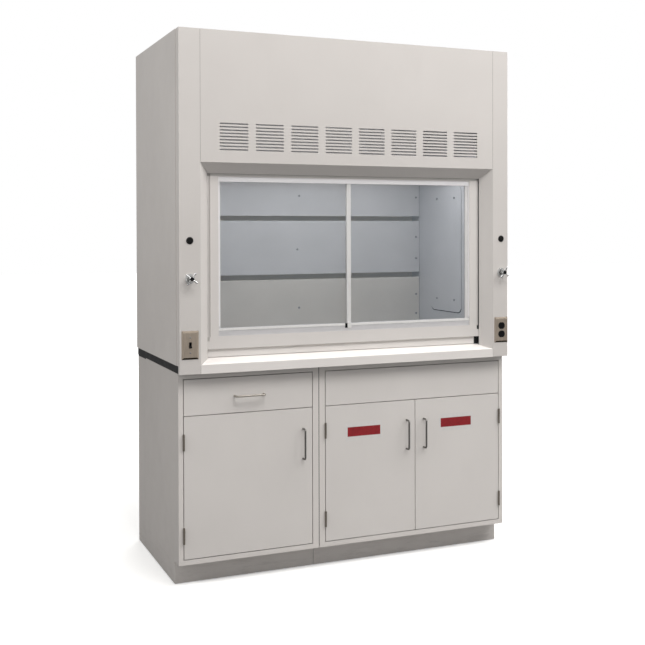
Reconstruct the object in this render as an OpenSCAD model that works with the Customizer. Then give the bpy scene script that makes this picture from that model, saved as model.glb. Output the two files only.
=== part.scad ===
// Walk-up bench fume hood on two base cabinets, in millimetres.
// +Z is up, the front faces -Y, and X runs from left to right across the front.
// The origin is on the floor at the middle of the whole object, valve handles included.
// Local depths are counted from the front face of the hood and moved by y_shift.

/* [Superstructure] */
// Width over the outer side panels
hood_w = 1524; // [1512:1:1540]
// Depth from the front face to the rear edge
hood_d = 750; // [748:1:770]
// Height of the top edge above the floor
hood_top_z = 2232; // [2232:1:2250]
// Thickness of the painted sheet
sheet = 2; // [1.6:0.1:2]
// Mean width of the flat faces of the two front posts
post_face_w = 84; // [83:0.5:86]
// Sideways offset of the front pattern from the middle
front_shift = 5; // [4:0.5:5]
// Half width of the mouth between the angled returns
mouth_x = 634; // [634:0.2:634.6]
// Depth of the angled returns
return_dy = 40; // [39:0.5:40]
// Depth of the side flange of each post, behind the hood front
post_flange = 55; // [52:1:70]
// Depth at which the side panels start over the post flanges
side_front_y = 45; // [40:1:50]
// Inward return at the rear of each side panel
rear_flange = 60; // [20:1:60]
// Clear joint between neighbouring fixed panels
joint_gap = 0.6; // [0.4:0.1:1]

/* [Front access panel] */
// Height of its lower front edge
panel_low_z = 1703.5; // [1698:0.5:1708]
// Height of the foot of its angled lower edge
panel_foot_z = 1661; // [1660:1:1662]
// Number of louvre blocks
louvre_blocks = 8; // [6:1:8]
// Slots in each block
louvre_rows = 9; // [5:1:9]
// Pitch of the blocks
louvre_block_pitch = 153.4; // [150:0.2:154]
// Length of a slot
louvre_len = 121.5; // [100:0.5:125]
// Pitch of the slots
louvre_pitch = 13; // [12:0.5:14]
// Height of a slot
louvre_h = 5.8; // [3:0.2:6.4]
// Centre of the lowest slot above the lower front edge
louvre_rise = 52; // [50:0.5:65]
// Depth of the stiffening return along the top
panel_top_flange = 15; // [8:1:20]

/* [Work surface and sill] */
// Height of the cabinet tops
bench_z = 861; // [858:1:861]
// Thickness of the epoxy top
worktop_t = 32; // [30:1:32]
// Height of the sill lip above the cabinet tops
lip_rise = 35; // [34:1:36]
// Height of the foot of the riser above the cabinet tops
sill_rise = 56; // [55:1:57]
// Height of the sill top above the cabinet tops
sill_top_rise = 89; // [88:1:89]
// Depth at which the riser stands
riser_y = 50; // [49.5:0.5:50]
// Depth of the rear end of the flat sill top
sill_flat_end_y = 84; // [82:1:88]
// Depth of the rear edge of the sloping tail
sill_tail_y = 112; // [108:1:120]
// Left end of the riser from the middle
riser_left = 633; // [631:0.5:633]
// Right end of the riser from the middle
riser_right = 613; // [612:1:614]

/* [Chamber] */
// Half width inside the side liners
chamber_half_w = 645; // [643:0.5:645]
// Thickness of the liner boards
liner_t = 6; // [5:0.5:6]
// Height of the underside of the roof liner
roof_z = 2080; // [2070:1:2080]
// Front face of the baffles
baffle_y = 620; // [615:1:625]
// Front face of the rear liner
rear_liner_y = 700; // [700:1:702]
// Lower edge of the bottom baffle above the cabinet tops
baffle_low_rise = 57; // [50:1:70]
// Top of the bottom baffle
slot_low_z = 1197; // [1190:1:1205]
// Foot of the middle baffle
slot_low_top_z = 1222; // [1216:1:1230]
// Top of the middle baffle
slot_high_z = 1477; // [1470:1:1485]
// Foot of the upper baffle
slot_high_top_z = 1500; // [1495:1:1510]
// Height at which the upper baffle leans forward
baffle_bend_z = 1740; // [1730:1:1750]
// Radius of the exhaust collar
collar_r = 127; // [120:0.5:127]
// Depth of the collar axis
collar_y = 520; // [515:1:525]
// Height of the collar above the roof liner
collar_h = 116; // [100:1:118]

/* [Sash] */
// Half width of the painted sash
sash_half_w = 633; // [632:0.5:633.5]
// Lowest edge of the closed sash
sash_low_z = 951.5; // [951.5:0.5:953]
// Height of the sash
sash_h = 730.5; // [725:0.5:731]
// Front face of the sash
sash_y = 42; // [42:0.1:42.4]
// Depth of the sash
sash_t = 30; // [28:0.5:30]
// Half width of the window in the painted frame
window_half_w = 586; // [584:0.5:588]
// Lowest edge of the window
window_low_z = 1003; // [1001:1:1005]
// Highest edge of the window
window_high_z = 1649; // [1647:1:1651]
// Upward travel of the sash
sash_travel = 457; // [300:1:457]
// Glass thickness
glass_t = 5; // [4:0.5:5]
// Visible height of the lower pane rail
pane_rail_low_h = 32; // [30:1:34]
// Visible height of the upper pane rail
pane_rail_high_h = 20; // [18:1:22]
// Width of the vertical pane edges
pane_edge_w = 18; // [16:1:20]
// Sideways place of the lifting cables
cable_x = 643; // [643:0.5:643.5]
// Cable radius
cable_r = 1.5; // [1:0.1:1.5]
// Running radius of the cable over a sheave
sheave_run_r = 24; // [24:0.5:24.5]
// Height of the sheave axes
sheave_z = 2190; // [2188:1:2190]

/* [Services] */
// Mean distance of valves, plugs and plates from the outer edges
service_inset = 41; // [41:0.5:44]
// Height of the valve stems
valve_z = 1240; // [1200:5:1300]
// Height of the hole plugs
plug_z = 1391; // [1360:1:1420]
// Radius of the hole plugs
plug_r = 14.5; // [13:0.5:16]
// Height of the centre of the switch plate
plate_z = 977; // [970:1:1000]
// How much higher the outlet plate sits
outlet_rise = 4; // [0:1:6]
// Width of a wiring plate
plate_w = 70; // [68:1:70]
// Height of a wiring plate
plate_h = 114; // [112:1:116]
// How far the valve handles stand out
handle_reach = 34; // [33:1:38]
// Length of a valve handle arm from its axis
handle_arm = 30; // [26:1:31]

/* [Base cabinets] */
// Half width over the pair of cabinets
cabinets_half_w = 756; // [754:1:756]
// Position of the seam between the cabinets
seam_x = -150; // [-152:0.5:-148]
// Setback of the cabinet fronts behind the hood front
cabinet_y = 38; // [37:0.5:39]
// Depth of the cabinets
cabinet_d = 559; // [550:1:565]
// Height of the cabinet floor above the building floor
cabinet_floor_z = 93; // [90:1:95]
// Setback of the toe kick
kick_y = 105; // [100:1:110]
// Height of the gap under the side panels
foot_gap = 2; // [1:0.5:4]
// Gap around doors and drawer fronts
reveal = 3; // [3:0.1:3.2]
// Thickness of doors and drawer fronts
front_t = 18; // [17:0.5:18]
// Width of the outer stiles
outer_stile_w = 19.5; // [19:0.5:21]
// Width of the stiles beside the seam
seam_stile_w = 27; // [26:0.5:28]
// Open joint between the two cabinets
seam_gap = 1.6; // [1:0.1:2]
// Foot of the doors
door_low_z = 116; // [115:0.5:117]
// Top of the doors
door_high_z = 687; // [684:1:688]
// Top of the drawer front
drawer_high_z = 835; // [833:1:837]
// Travel of the drawer
drawer_travel = 400; // [300:10:400]
// Overall length of a pull
pull_len = 133; // [126:1:140]
// Projection of a pull
pull_out = 30; // [28:1:32]
// Radius of the pull rod
pull_r = 4; // [3.5:0.5:4]
// Height of the middle of the vertical pulls
pull_mid_z = 538.5; // [530:0.5:560]
// Distance of the vertical pulls from the free door edge
pull_inset = 41; // [36:1:50]
// Middle height of the upper hinges
hinge_high_z = 585; // [570:1:600]
// Middle height of the lower hinges
hinge_low_z = 211; // [200:1:230]
// Length of a hinge
hinge_len = 64; // [60:1:64]

/* [Hidden] */
$fn = 48;
hw = hood_w / 2;
y_shift = -(hood_d - handle_reach) / 2;
post_out_x = hw - sheet;
crease_left = hw - post_face_w - front_shift;
crease_right = hw - post_face_w + front_shift;
top_z = bench_z + worktop_t;
sill_top_z = bench_z + sill_top_rise;
panel_bend = atan2(return_dy, panel_low_z - panel_foot_z);
roof_top_z = roof_z + liner_t;
liner_outer_x = chamber_half_w + liner_t;
liner_front_y = sash_y + sash_t + 2;
roof_front_y = liner_front_y + 2;
rear_liner_end_y = rear_liner_y + liner_t;
service_shift = front_shift - 1;
service_left = hw - service_inset - service_shift;
service_right = hw - service_inset + service_shift;
sash_high_z = sash_low_z + sash_h;
track_mouth_x = 638;
track_web_x = 652;
track_y0 = sash_y + 2;
track_y1 = sash_y + sash_t;
track_wall = 2;
track_top_z = 2150;
rail_frame_half_w = window_half_w + 8;
rail_low_z = window_low_z - 8;
rail_high_z = window_high_z + 8;
rail_wall = 2;
rail_mid_wall = 1.5;
groove_w = 9.5;
rail_y0 = sash_y + sheet + 1;
groove_front_y = rail_y0 + rail_wall;
groove_rear_y = groove_front_y + groove_w + rail_mid_wall;
rail_y1 = groove_rear_y + groove_w + rail_wall;
pane_slack = 0.6;
jamb_lip = 12;
pane_half = rail_frame_half_w - rail_wall - pane_slack;
pane_low_z = rail_low_z + rail_wall + 1;
pane_high_z = rail_high_z - rail_wall - 6;
front_cable_y = sash_y + sash_t / 2 + 1;
front_sheave_y = front_cable_y + sheave_run_r;
rear_cable_y = 726;
rear_sheave_y = rear_cable_y - sheave_run_r;
sheave_r = 28;
sheave_w = 9;
sheave_floor_r = 22;
sheave_bore_r = 5.05;
sheave_pin_r = 5;
shoe_top_z = sash_high_z - 2;
weight_half_w = 657;
weight_y0 = 713;
weight_y1 = 739;
weight_h = 60;
weight_top_z = 2136;
frame_top_z = 2226;
frame_t = 4;
frame_low_z = frame_top_z - frame_t;
lamp_half = 599;
lamp_r = 13;
lamp_z = 2130;
lamp_y = [215, 295];
lamp_house_half_w = 618;
lamp_house_y = [150, 360];
lamp_house_top_z = 2180;
lens_half_w = 600;
lens_y = [165, 345];
lens_t = 6;
lens_hole_half_w = 585;
lens_hole_y = [180, 330];
screw_r = 5;
screw_h = 3;
support_x = 624;
support_mid_x = -11;
support_half_w = 15;
stem_r = 4;
stem_bore_r = 4.05;
cabinet_back_y = cabinet_y + cabinet_d;
wall = 2;
left_x0 = -cabinets_half_w;
left_x1 = seam_x - seam_gap / 2;
right_x0 = seam_x + seam_gap / 2;
right_x1 = cabinets_half_w;
left_open_x0 = left_x0 + outer_stile_w;
left_open_x1 = left_x1 - seam_stile_w;
right_open_x0 = right_x0 + seam_stile_w;
right_open_x1 = right_x1 - outer_stile_w;
split_x = (right_open_x0 + right_open_x1) / 2;
stile_return = 20;
knuckle_r = 4.2;
hinge_pin_r = 1.6;
hinge_bore_r = 1.65;
leaf_t = 1.2;
leaf_depth = 18;
hinge_axis_y = cabinet_y - 4.5;
knuckles = 5;
knuckle_gap = 0.3;
runner_z0 = 740;
runner_z1 = 770;
runner_wall = 1.5;
box_side_gap = 16;
drawer_z0 = 706;
drawer_z1 = 815;
drawer_back_y = 540;
toggle_z = plate_z;
outlet_z = plate_z + outlet_rise;
toggle_pivot_y = 6;
toggle_tilt = 18;
chamber_tail = 60;

// ---- helpers ----

// Moves local depths so that the whole object is centred on Y = 0.
module placed() translate([0, y_shift, 0]) children();

// A block given by its lowest and highest corners.
module block(lo, hi) translate(lo) cube(hi - lo);

// The children and their mirror image across the middle plane.
module pair() {
    children();
    mirror([1, 0, 0]) children();
}

// A plan outline raised from z0 to z1.
module raised(points, z0, z1) translate([0, 0, z0]) linear_extrude(z1 - z0) polygon(points);

// A depth-height outline drawn out along X from x0 to x1.
module drawn(points, x0, x1)
    translate([x0, 0, 0]) rotate([90, 0, 90]) linear_extrude(x1 - x0) polygon(points);

// A round bar along X.
module bar_x(r, x0, x1, y, z) translate([x0, y, z]) rotate([0, 90, 0]) cylinder(r = r, h = x1 - x0);

// A round bar along Y.
module bar_y(r, y0, y1, x, z) translate([x, y1, z]) rotate([90, 0, 0]) cylinder(r = r, h = y1 - y0);

// A round bar along Z.
module bar_z(r, z0, z1, x, y) translate([x, y, z0]) cylinder(r = r, h = z1 - z0);

// An open-backed sheet pan: a skin at the front with a return along each edge.
module pan(x0, x1, y0, y1, z0, z1) difference() {
    block([x0, y0, z0], [x1, y1, z1]);
    block([x0 + wall, y0 + wall, z0 + wall], [x1 - wall, y1 + 1, z1 - wall]);
}

// ---- superstructure ----

module outer_sides() color("Gainsboro") placed() pair() raised([
    [-hw, side_front_y], [-hw + sheet, side_front_y], [-hw + sheet, hood_d - sheet],
    [-hw + rear_flange, hood_d - sheet], [-hw + rear_flange, hood_d], [-hw, hood_d]],
    top_z, hood_top_z);

low_flange = 20;

module post_cutouts(x, device_z) {
    bar_y(plug_r - 3.5, -1, sheet + 1, x, plug_z);
    bar_y(7.5, -1, sheet + 1, x, valve_z);
    block([x - 23, -1, device_z - 36], [x + 23, sheet + 1, device_z + 36]);
}

// The left post, its flat face ending at -crease.
module front_post(crease, service, device_z) difference() {
    bend = atan2(return_dy, crease - mouth_x);
    union() {
        raised([[-post_out_x, 0], [-crease, 0], [-mouth_x, return_dy],
            [-mouth_x - sheet / sin(bend), return_dy],
            [-crease - sheet * tan(bend / 2), sheet], [-post_out_x + sheet, sheet],
            [-post_out_x + sheet, post_flange], [-post_out_x, post_flange]],
            top_z, hood_top_z);
        raised([[-post_out_x, 0], [-crease, 0], [-crease, sheet], [-post_out_x + sheet, sheet],
            [-post_out_x + sheet, low_flange], [-post_out_x, low_flange]], bench_z, top_z);
    }
    post_cutouts(-service, device_z);
}

module front_posts() color("Gainsboro") placed() {
    front_post(crease_left, service_left, plate_z);
    mirror([1, 0, 0]) front_post(crease_right, service_right, outlet_z);
}

// Plan outline between the two angled returns, from the front face to the depth y_end.
function between_returns(y_end) = let (
    slope_left = (crease_left - mouth_x) / return_dy,
    slope_right = (crease_right - mouth_x) / return_dy)
    [[-crease_left + joint_gap, 0], [crease_right - joint_gap, 0],
     [crease_right - joint_gap - slope_right * y_end, y_end],
     [-crease_left + joint_gap + slope_left * y_end, y_end]];

module louvre_slots() {
    span = (louvre_blocks - 1) * louvre_block_pitch + louvre_len;
    for (block_i = [0 : louvre_blocks - 1]) for (row = [0 : louvre_rows - 1])
        translate([front_shift - span / 2 + block_i * louvre_block_pitch, sheet + 1,
                   panel_low_z + louvre_rise + row * louvre_pitch])
            rotate([90, 0, 0]) linear_extrude(sheet + 2) union() {
                translate([louvre_h / 2, -louvre_h / 2]) square([louvre_len - louvre_h, louvre_h]);
                translate([louvre_h / 2, 0]) circle(louvre_h / 2, $fn = 16);
                translate([louvre_len - louvre_h / 2, 0]) circle(louvre_h / 2, $fn = 16);
            }
}

module front_access_panel() color("Gainsboro") placed() difference() {
    intersection() {
        drawn([[0, hood_top_z], [0, panel_low_z], [return_dy, panel_foot_z],
            [return_dy, panel_foot_z + sheet / sin(panel_bend)],
            [sheet, panel_low_z + sheet * tan(panel_bend / 2)], [sheet, hood_top_z - sheet],
            [panel_top_flange, hood_top_z - sheet], [panel_top_flange, hood_top_z]],
            -hw, hw);
        raised(between_returns(return_dy), panel_low_z - 2 * return_dy, hood_top_z);
    }
    louvre_slots();
}

module roof_liner() color("LightSteelBlue") placed() difference() {
    block([-liner_outer_x, roof_front_y, roof_z], [liner_outer_x, rear_liner_end_y, roof_top_z]);
    block([-lens_hole_half_w, lens_hole_y[0], roof_z - 1],
        [lens_hole_half_w, lens_hole_y[1], roof_top_z + 1]);
    bar_z(collar_r - sheet, roof_z - 1, roof_top_z + 1, 0, collar_y);
}

hatch_y = [210, 494];
hatch_z = [1044, 1638];
hatch_margin = 28;
hatch_t = 3;

module side_liners() color("LightSteelBlue") placed() pair() difference() {
    block([-liner_outer_x, liner_front_y, top_z], [-chamber_half_w, rear_liner_y, roof_z]);
    block([-liner_outer_x - 1, hatch_y[0] + hatch_margin, hatch_z[0] + hatch_margin],
          [-chamber_half_w + 1, hatch_y[1] - hatch_margin, hatch_z[1] - hatch_margin]);
}

module rear_liner() color("LightSteelBlue") placed()
    block([-liner_outer_x, rear_liner_y, top_z], [liner_outer_x, rear_liner_end_y, roof_z]);

baffle_half_w = chamber_half_w - 3;

module baffle_lower() color("LightSlateGray") placed()
    block([-baffle_half_w, baffle_y, bench_z + baffle_low_rise],
        [baffle_half_w, baffle_y + liner_t, slot_low_z]);

module baffle_middle() color("LightSlateGray") placed()
    block([-baffle_half_w, baffle_y, slot_low_top_z], [baffle_half_w, baffle_y + liner_t, slot_high_z]);

baffle_lean_dy = 190;
baffle_lean_dz = 270;
baffle_lean = atan2(baffle_lean_dy, baffle_lean_dz);

module baffle_upper() color("LightSlateGray") placed() drawn([
    [baffle_y, slot_high_top_z], [baffle_y, baffle_bend_z],
    [baffle_y - baffle_lean_dy, baffle_bend_z + baffle_lean_dz],
    [baffle_y - baffle_lean_dy + liner_t / cos(baffle_lean), baffle_bend_z + baffle_lean_dz],
    [baffle_y + liner_t, baffle_bend_z + liner_t * tan(baffle_lean / 2)],
    [baffle_y + liner_t, slot_high_top_z]], -baffle_half_w, baffle_half_w);

slot_clear = 30;
support_z = [[bench_z + baffle_low_rise, slot_low_z - slot_clear],
    [slot_low_top_z + slot_clear, slot_high_z - slot_clear],
    [slot_high_top_z + slot_clear, baffle_bend_z]];

module baffle_supports() color("Silver") placed()
    for (x = [-support_x, support_mid_x, support_x]) for (z = support_z) translate([x, 0, 0]) raised([
        [-support_half_w, rear_liner_y], [support_half_w, rear_liner_y],
        [support_half_w, baffle_y + liner_t], [support_half_w - sheet, baffle_y + liner_t],
        [support_half_w - sheet, rear_liner_y - sheet], [-support_half_w + sheet, rear_liner_y - sheet],
        [-support_half_w + sheet, baffle_y + liner_t], [-support_half_w, baffle_y + liner_t]],
        z[0], z[1]);

centre_screws = [[-9, 1061], [-17, 1340], [-7, 1596]];
side_screw_z = [1014, 1110, 1290, 1397, 1595];
hatch_screw_y = [272, 436];
hatch_screw_z = [1100, 1582];

module liner_fixings() color("Silver") placed() {
    for (place = centre_screws) bar_y(screw_r, baffle_y - screw_h, baffle_y, place[0], place[1]);
    for (z = side_screw_z) pair() bar_y(screw_r, baffle_y - screw_h, baffle_y, support_x, z);
    for (z = hatch_screw_z) for (y = hatch_screw_y) pair()
        bar_x(screw_r, chamber_half_w - hatch_t - screw_h, chamber_half_w - hatch_t, y, z);
}

hatch_corner_r = 30;

module liner_hatches() color("LightSteelBlue") placed() pair()
    translate([-chamber_half_w, 0, 0]) rotate([90, 0, 90]) linear_extrude(hatch_t) union() {
        translate([hatch_y[0], hatch_z[0] + hatch_corner_r])
            square([hatch_y[1] - hatch_y[0], hatch_z[1] - hatch_z[0] - 2 * hatch_corner_r]);
        translate([hatch_y[0] + hatch_corner_r, hatch_z[0]])
            square([hatch_y[1] - hatch_y[0] - 2 * hatch_corner_r, hatch_z[1] - hatch_z[0]]);
        for (y = [hatch_y[0] + hatch_corner_r, hatch_y[1] - hatch_corner_r])
            for (z = [hatch_z[0] + hatch_corner_r, hatch_z[1] - hatch_corner_r])
                translate([y, z]) circle(hatch_corner_r);
    }

collar_flange_r = collar_r + 20;

module exhaust_collar() color("Silver") placed() translate([0, collar_y, roof_top_z]) difference() {
    union() {
        cylinder(r = collar_flange_r, h = sheet, $fn = 96);
        cylinder(r = collar_r, h = collar_h, $fn = 96);
    }
    translate([0, 0, -1]) cylinder(r = collar_r - sheet, h = collar_h + 2, $fn = 96);
}

lamp_socket_half = 15;
lamp_socket_len = 18;

module light_housing() color("White") placed() {
    difference() {
        block([-lamp_house_half_w, lamp_house_y[0], roof_top_z],
              [lamp_house_half_w, lamp_house_y[1], lamp_house_top_z]);
        block([-lamp_house_half_w + wall, lamp_house_y[0] + wall, roof_top_z - 1],
              [lamp_house_half_w - wall, lamp_house_y[1] - wall, lamp_house_top_z - wall]);
    }
    for (y = lamp_y) pair() block(
        [-lamp_house_half_w + wall, y - lamp_socket_half, lamp_z - lamp_socket_half],
        [-lamp_house_half_w + wall + lamp_socket_len - 1, y + lamp_socket_half, lamp_house_top_z - wall]);
}

module light_tubes() color("Ivory") placed() for (y = lamp_y) bar_x(lamp_r, -lamp_half, lamp_half, y, lamp_z);

module light_lens() color("LightCyan", 0.5) placed()
    block([-lens_half_w, lens_y[0], roof_top_z], [lens_half_w, lens_y[1], roof_top_z + lens_t]);

// ---- sill and work surface ----

rib_x = 500;

foot_groove_h = 2.6;
foot_groove_d = 5;

module airfoil_sill() color("WhiteSmoke") placed() {
    lip_z = bench_z + lip_rise;
    foot_z = bench_z + sill_rise;
    rise = (foot_z - lip_z) / riser_y;
    drop = sheet * sqrt(1 + rise * rise);
    groove_y = riser_y + foot_groove_d;
    tail_dz = 35;
    tail_inset = 1.6;
    intersection() {
        drawn([[0, bench_z - 1], [0, lip_z], [riser_y, foot_z], [groove_y, foot_z],
            [groove_y, foot_z + foot_groove_h], [riser_y, foot_z + foot_groove_h],
            [riser_y, sill_top_z], [sill_flat_end_y, sill_top_z], [sill_tail_y, sill_top_z - tail_dz],
            [sill_tail_y - tail_inset, sill_top_z - tail_dz - 1],
            [sill_flat_end_y - 1, sill_top_z - sheet], [riser_y + sheet, sill_top_z - sheet],
            [riser_y + sheet, foot_z + foot_groove_h + sheet],
            [groove_y + sheet, foot_z + foot_groove_h + sheet], [groove_y + sheet, foot_z - sheet],
            [riser_y, foot_z - sheet],
            [sheet, lip_z + rise * sheet - drop], [sheet, bench_z - 1]], -hw, hw);
        raised([[-crease_left + joint_gap, 0], [crease_right - joint_gap, 0],
            [mouth_x - joint_gap, return_dy], [mouth_x - joint_gap, riser_y],
            [riser_right, riser_y], [riser_right, sill_tail_y + 1],
            [-riser_left, sill_tail_y + 1], [-riser_left, riser_y],
            [-mouth_x + joint_gap, riser_y], [-mouth_x + joint_gap, return_dy]],
            bench_z - 2, sill_top_z + 1);
    }
    for (x = [-rib_x, 0, rib_x]) block([x - sheet, riser_y + 8, top_z],
        [x + sheet, sill_flat_end_y - 6, sill_top_z - sheet]);
}

worktop_y = [6, 748];
worktop_inset = 4.5;
rear_rib_x = 700;

module worktop() color("DimGray") placed() {
    block([-hw + worktop_inset, worktop_y[0], bench_z], [hw - worktop_inset, worktop_y[1], top_z]);
    pair() block([-cabinets_half_w, cabinet_back_y + joint_gap, filler_top_z],
        [-rear_rib_x, worktop_y[1], bench_z]);
}

// ---- sash guides, frame and lift gear ----

bumper_left_x = 633.6;
bumper_right_x = 616;
bumper_low_z = 919;

module sash_tracks() color("Silver") placed() pair() raised([
    [-track_mouth_x, track_y0], [-track_web_x - track_wall, track_y0],
    [-track_web_x - track_wall, track_y1], [-track_mouth_x, track_y1],
    [-track_mouth_x, track_y1 - track_wall], [-track_web_x, track_y1 - track_wall],
    [-track_web_x, track_y0 + track_wall], [-track_mouth_x, track_y0 + track_wall]],
    bumper_low_z, track_top_z);

module sash_bumpers() color("Black") placed() {
    block([-track_web_x, riser_y + 2.3, bumper_low_z], [-bumper_left_x, track_y1 - 2.4, sash_low_z - 0.3]);
    block([bumper_right_x, riser_y + 2.3, bumper_low_z], [track_web_x, track_y1 - 2.4, sash_low_z - 0.3]);
}

cheek_in_x = 633.5;
cheek_out_x = 650;
cheek_t = 2.5;
cheek_low_z = 2178;
cheek_half_d = 18;

module sheave_bracket(y) {
    for (x = [cheek_in_x, cheek_out_x])
        block([x, y - cheek_half_d, cheek_low_z], [x + cheek_t, y + cheek_half_d, frame_low_z]);
    bar_x(sheave_pin_r, cheek_in_x, cheek_out_x + cheek_t, y, sheave_z);
}

upright_x = [716, 756];
upright_front_y = [88, 128];
upright_rear_y = [704, 744];
upright_t = 3;
top_rail_half_w = 756;
guide_low_z = 1560;
guide_x = [642, 660];
guide_y = [708, 744];

module superstructure_frame() color("Silver") placed() {
    block([-top_rail_half_w, front_sheave_y - 20, frame_low_z],
        [top_rail_half_w, upright_front_y[1], frame_top_z]);
    block([-top_rail_half_w, rear_sheave_y - 20, frame_low_z],
        [top_rail_half_w, upright_rear_y[1], frame_top_z]);
    pair() {
        block([upright_x[0], upright_front_y[1], frame_low_z],
            [upright_x[1], rear_sheave_y - 20, frame_top_z]);
        raised([[upright_x[1], upright_front_y[0]], [upright_x[0], upright_front_y[0]],
            [upright_x[0], upright_front_y[0] + upright_t],
            [upright_x[1] - upright_t, upright_front_y[0] + upright_t],
            [upright_x[1] - upright_t, upright_front_y[1]], [upright_x[1], upright_front_y[1]]],
            top_z, frame_low_z);
        raised([[upright_x[1], upright_rear_y[1]], [guide_x[0], upright_rear_y[1]],
            [guide_x[0], upright_rear_y[1] - track_wall], [guide_x[1], upright_rear_y[1] - track_wall],
            [guide_x[1], guide_y[0] + track_wall], [guide_x[0], guide_y[0] + track_wall],
            [guide_x[0], guide_y[0]], [guide_x[1] + track_wall, guide_y[0]],
            [guide_x[1] + track_wall, upright_rear_y[1] - upright_t],
            [upright_x[1], upright_rear_y[1] - upright_t]],
            guide_low_z, track_top_z);
        raised([[upright_x[1], upright_rear_y[0]], [upright_x[1], upright_rear_y[1]],
            [upright_x[0], upright_rear_y[1]], [upright_x[0], upright_rear_y[1] - upright_t],
            [upright_x[1] - upright_t, upright_rear_y[1] - upright_t],
            [upright_x[1] - upright_t, upright_rear_y[0]]],
            top_z, frame_low_z);
        sheave_bracket(front_sheave_y);
        sheave_bracket(rear_sheave_y);
    }
}

// Both sheaves of one axle line, each with a square-bottomed groove.
module sheaves(y) pair() translate([cable_x - sheave_w / 2, y, sheave_z]) rotate([0, 90, 0])
    rotate_extrude($fn = 64) polygon([
        [sheave_bore_r, 0], [sheave_r, 0], [sheave_r, 1.5], [sheave_floor_r, 2.2],
        [sheave_floor_r, sheave_w - 2.2], [sheave_r, sheave_w - 1.5], [sheave_r, sheave_w],
        [sheave_bore_r, sheave_w]]);

module front_sheaves() color("SteelBlue") placed() sheaves(front_sheave_y);

module rear_sheaves() color("SteelBlue") placed() sheaves(rear_sheave_y);

// A quarter turn of cable over a sheave, towards the front or the rear.
module cable_turn(y, turn) translate([cable_x, y, sheave_z]) rotate([0, -90, 0])
    rotate([0, 0, turn]) rotate_extrude(angle = 90, $fn = 64) translate([sheave_run_r, 0])
        circle(cable_r, $fn = 24);

module sash_cables() color("DarkGray") placed() pair() {
    bar_z(cable_r, shoe_top_z + 0.3, sheave_z, cable_x, front_cable_y);
    cable_turn(front_sheave_y, -90);
    bar_y(cable_r, front_sheave_y, rear_sheave_y, cable_x, sheave_z + sheave_run_r);
    cable_turn(rear_sheave_y, 0);
    bar_z(cable_r, weight_top_z + 0.3, sheave_z, cable_x, rear_cable_y);
}

module counterweight() color("DarkSlateGray") placed()
    block([-weight_half_w, weight_y0, weight_top_z - weight_h], [weight_half_w, weight_y1, weight_top_z]);

// ---- sash ----

tab_out_x = 636.5;
step_w = 12;
step_d = 4;
shoe_y = [48, 68];
shoe_in_x = 624.5;
shoe_out_x = 650;
shoe_low_z = [984, 1001];
shoe_high_len = 40;

// The painted pan of the sash, with stepped-back side edges above its wide foot.
module sash_frame() color("Gainsboro") placed() difference() {
    step_x = sash_half_w - step_w;
    union() {
        block([-sash_half_w, sash_y, sash_low_z], [sash_half_w, sash_y + sash_t, sash_high_z]);
        pair() block([-tab_out_x, sash_y, sash_low_z], [-sash_half_w, sash_y + sash_t, shoe_low_z[0]]);
    }
    pair() {
        block([-sash_half_w - 1, sash_y - 1, shoe_low_z[1]], [-step_x, sash_y + step_d, sash_high_z + 1]);
        block([-tab_out_x, sash_y - 1, shoe_low_z[0]], [-shoe_in_x, sash_y + sash_t + 1, shoe_low_z[1]]);
    }
    block([-sash_half_w + sheet, sash_y + step_d + sheet, sash_low_z + sheet],
          [sash_half_w - sheet, sash_y + sash_t + 1, sash_high_z - sheet]);
    block([-step_x + sheet, sash_y + sheet, sash_low_z + sheet],
          [step_x - sheet, sash_y + sash_t, sash_high_z - sheet]);
    block([-window_half_w, sash_y - 1, window_low_z], [window_half_w, sash_y + sheet + 1, window_high_z]);
}

module sash_guides() color("Black") placed() pair() {
    block([shoe_in_x, sash_y + 1, shoe_low_z[0]], [tab_out_x, sash_y + sash_t - sheet, shoe_low_z[1]]);
    block([tab_out_x, shoe_y[0], shoe_low_z[0]], [shoe_out_x, shoe_y[1], shoe_low_z[1]]);
    block([sash_half_w, shoe_y[0], shoe_top_z - shoe_high_len], [shoe_out_x, shoe_y[1], shoe_top_z]);
}

// Aluminium rails with two grooves, one pane in each.
module sash_pane_rails() color("LightGray") placed() difference() {
    block([-rail_frame_half_w, rail_y0, rail_low_z], [rail_frame_half_w, rail_y1, rail_high_z]);
    block([-rail_frame_half_w + rail_wall + jamb_lip, rail_y0 - 1, window_low_z + pane_rail_low_h],
          [rail_frame_half_w - rail_wall - jamb_lip, rail_y1 + 1, window_high_z - pane_rail_high_h]);
    for (y = [groove_front_y, groove_rear_y])
        block([-rail_frame_half_w + rail_wall, y, rail_low_z + rail_wall],
              [rail_frame_half_w - rail_wall, y + groove_w, rail_high_z - rail_wall]);
}

// Glass between the two edge strips of a pane that reaches from x0 to x1.
module pane_glass(x0, x1, y)
    block([x0 + 4, y + (groove_w - glass_t) / 2, pane_low_z],
        [x1 - 4, y + (groove_w + glass_t) / 2, pane_high_z]);

// The two edge strips, grooved to hold the glass.
module pane_edges(x0, x1, y, w0, w1) difference() {
    union() {
        block([x0, y + pane_slack, pane_low_z], [x0 + w0, y + groove_w - pane_slack, pane_high_z]);
        block([x1 - w1, y + pane_slack, pane_low_z], [x1, y + groove_w - pane_slack, pane_high_z]);
    }
    block([x0 + 4, y + (groove_w - glass_t) / 2, pane_low_z - 1],
        [x1 - 4, y + (groove_w + glass_t) / 2, pane_high_z + 1]);
}

meeting_x = -4;
meeting_half = 10;
free_edge_w = 24;

module pane_left_glass() color("LightCyan", 0.4) placed()
    pane_glass(-pane_half, meeting_x + meeting_half, groove_rear_y);

module pane_left_edges() color("LightGray") placed()
    pane_edges(-pane_half, meeting_x + meeting_half, groove_rear_y, pane_edge_w, pane_edge_w);

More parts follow.
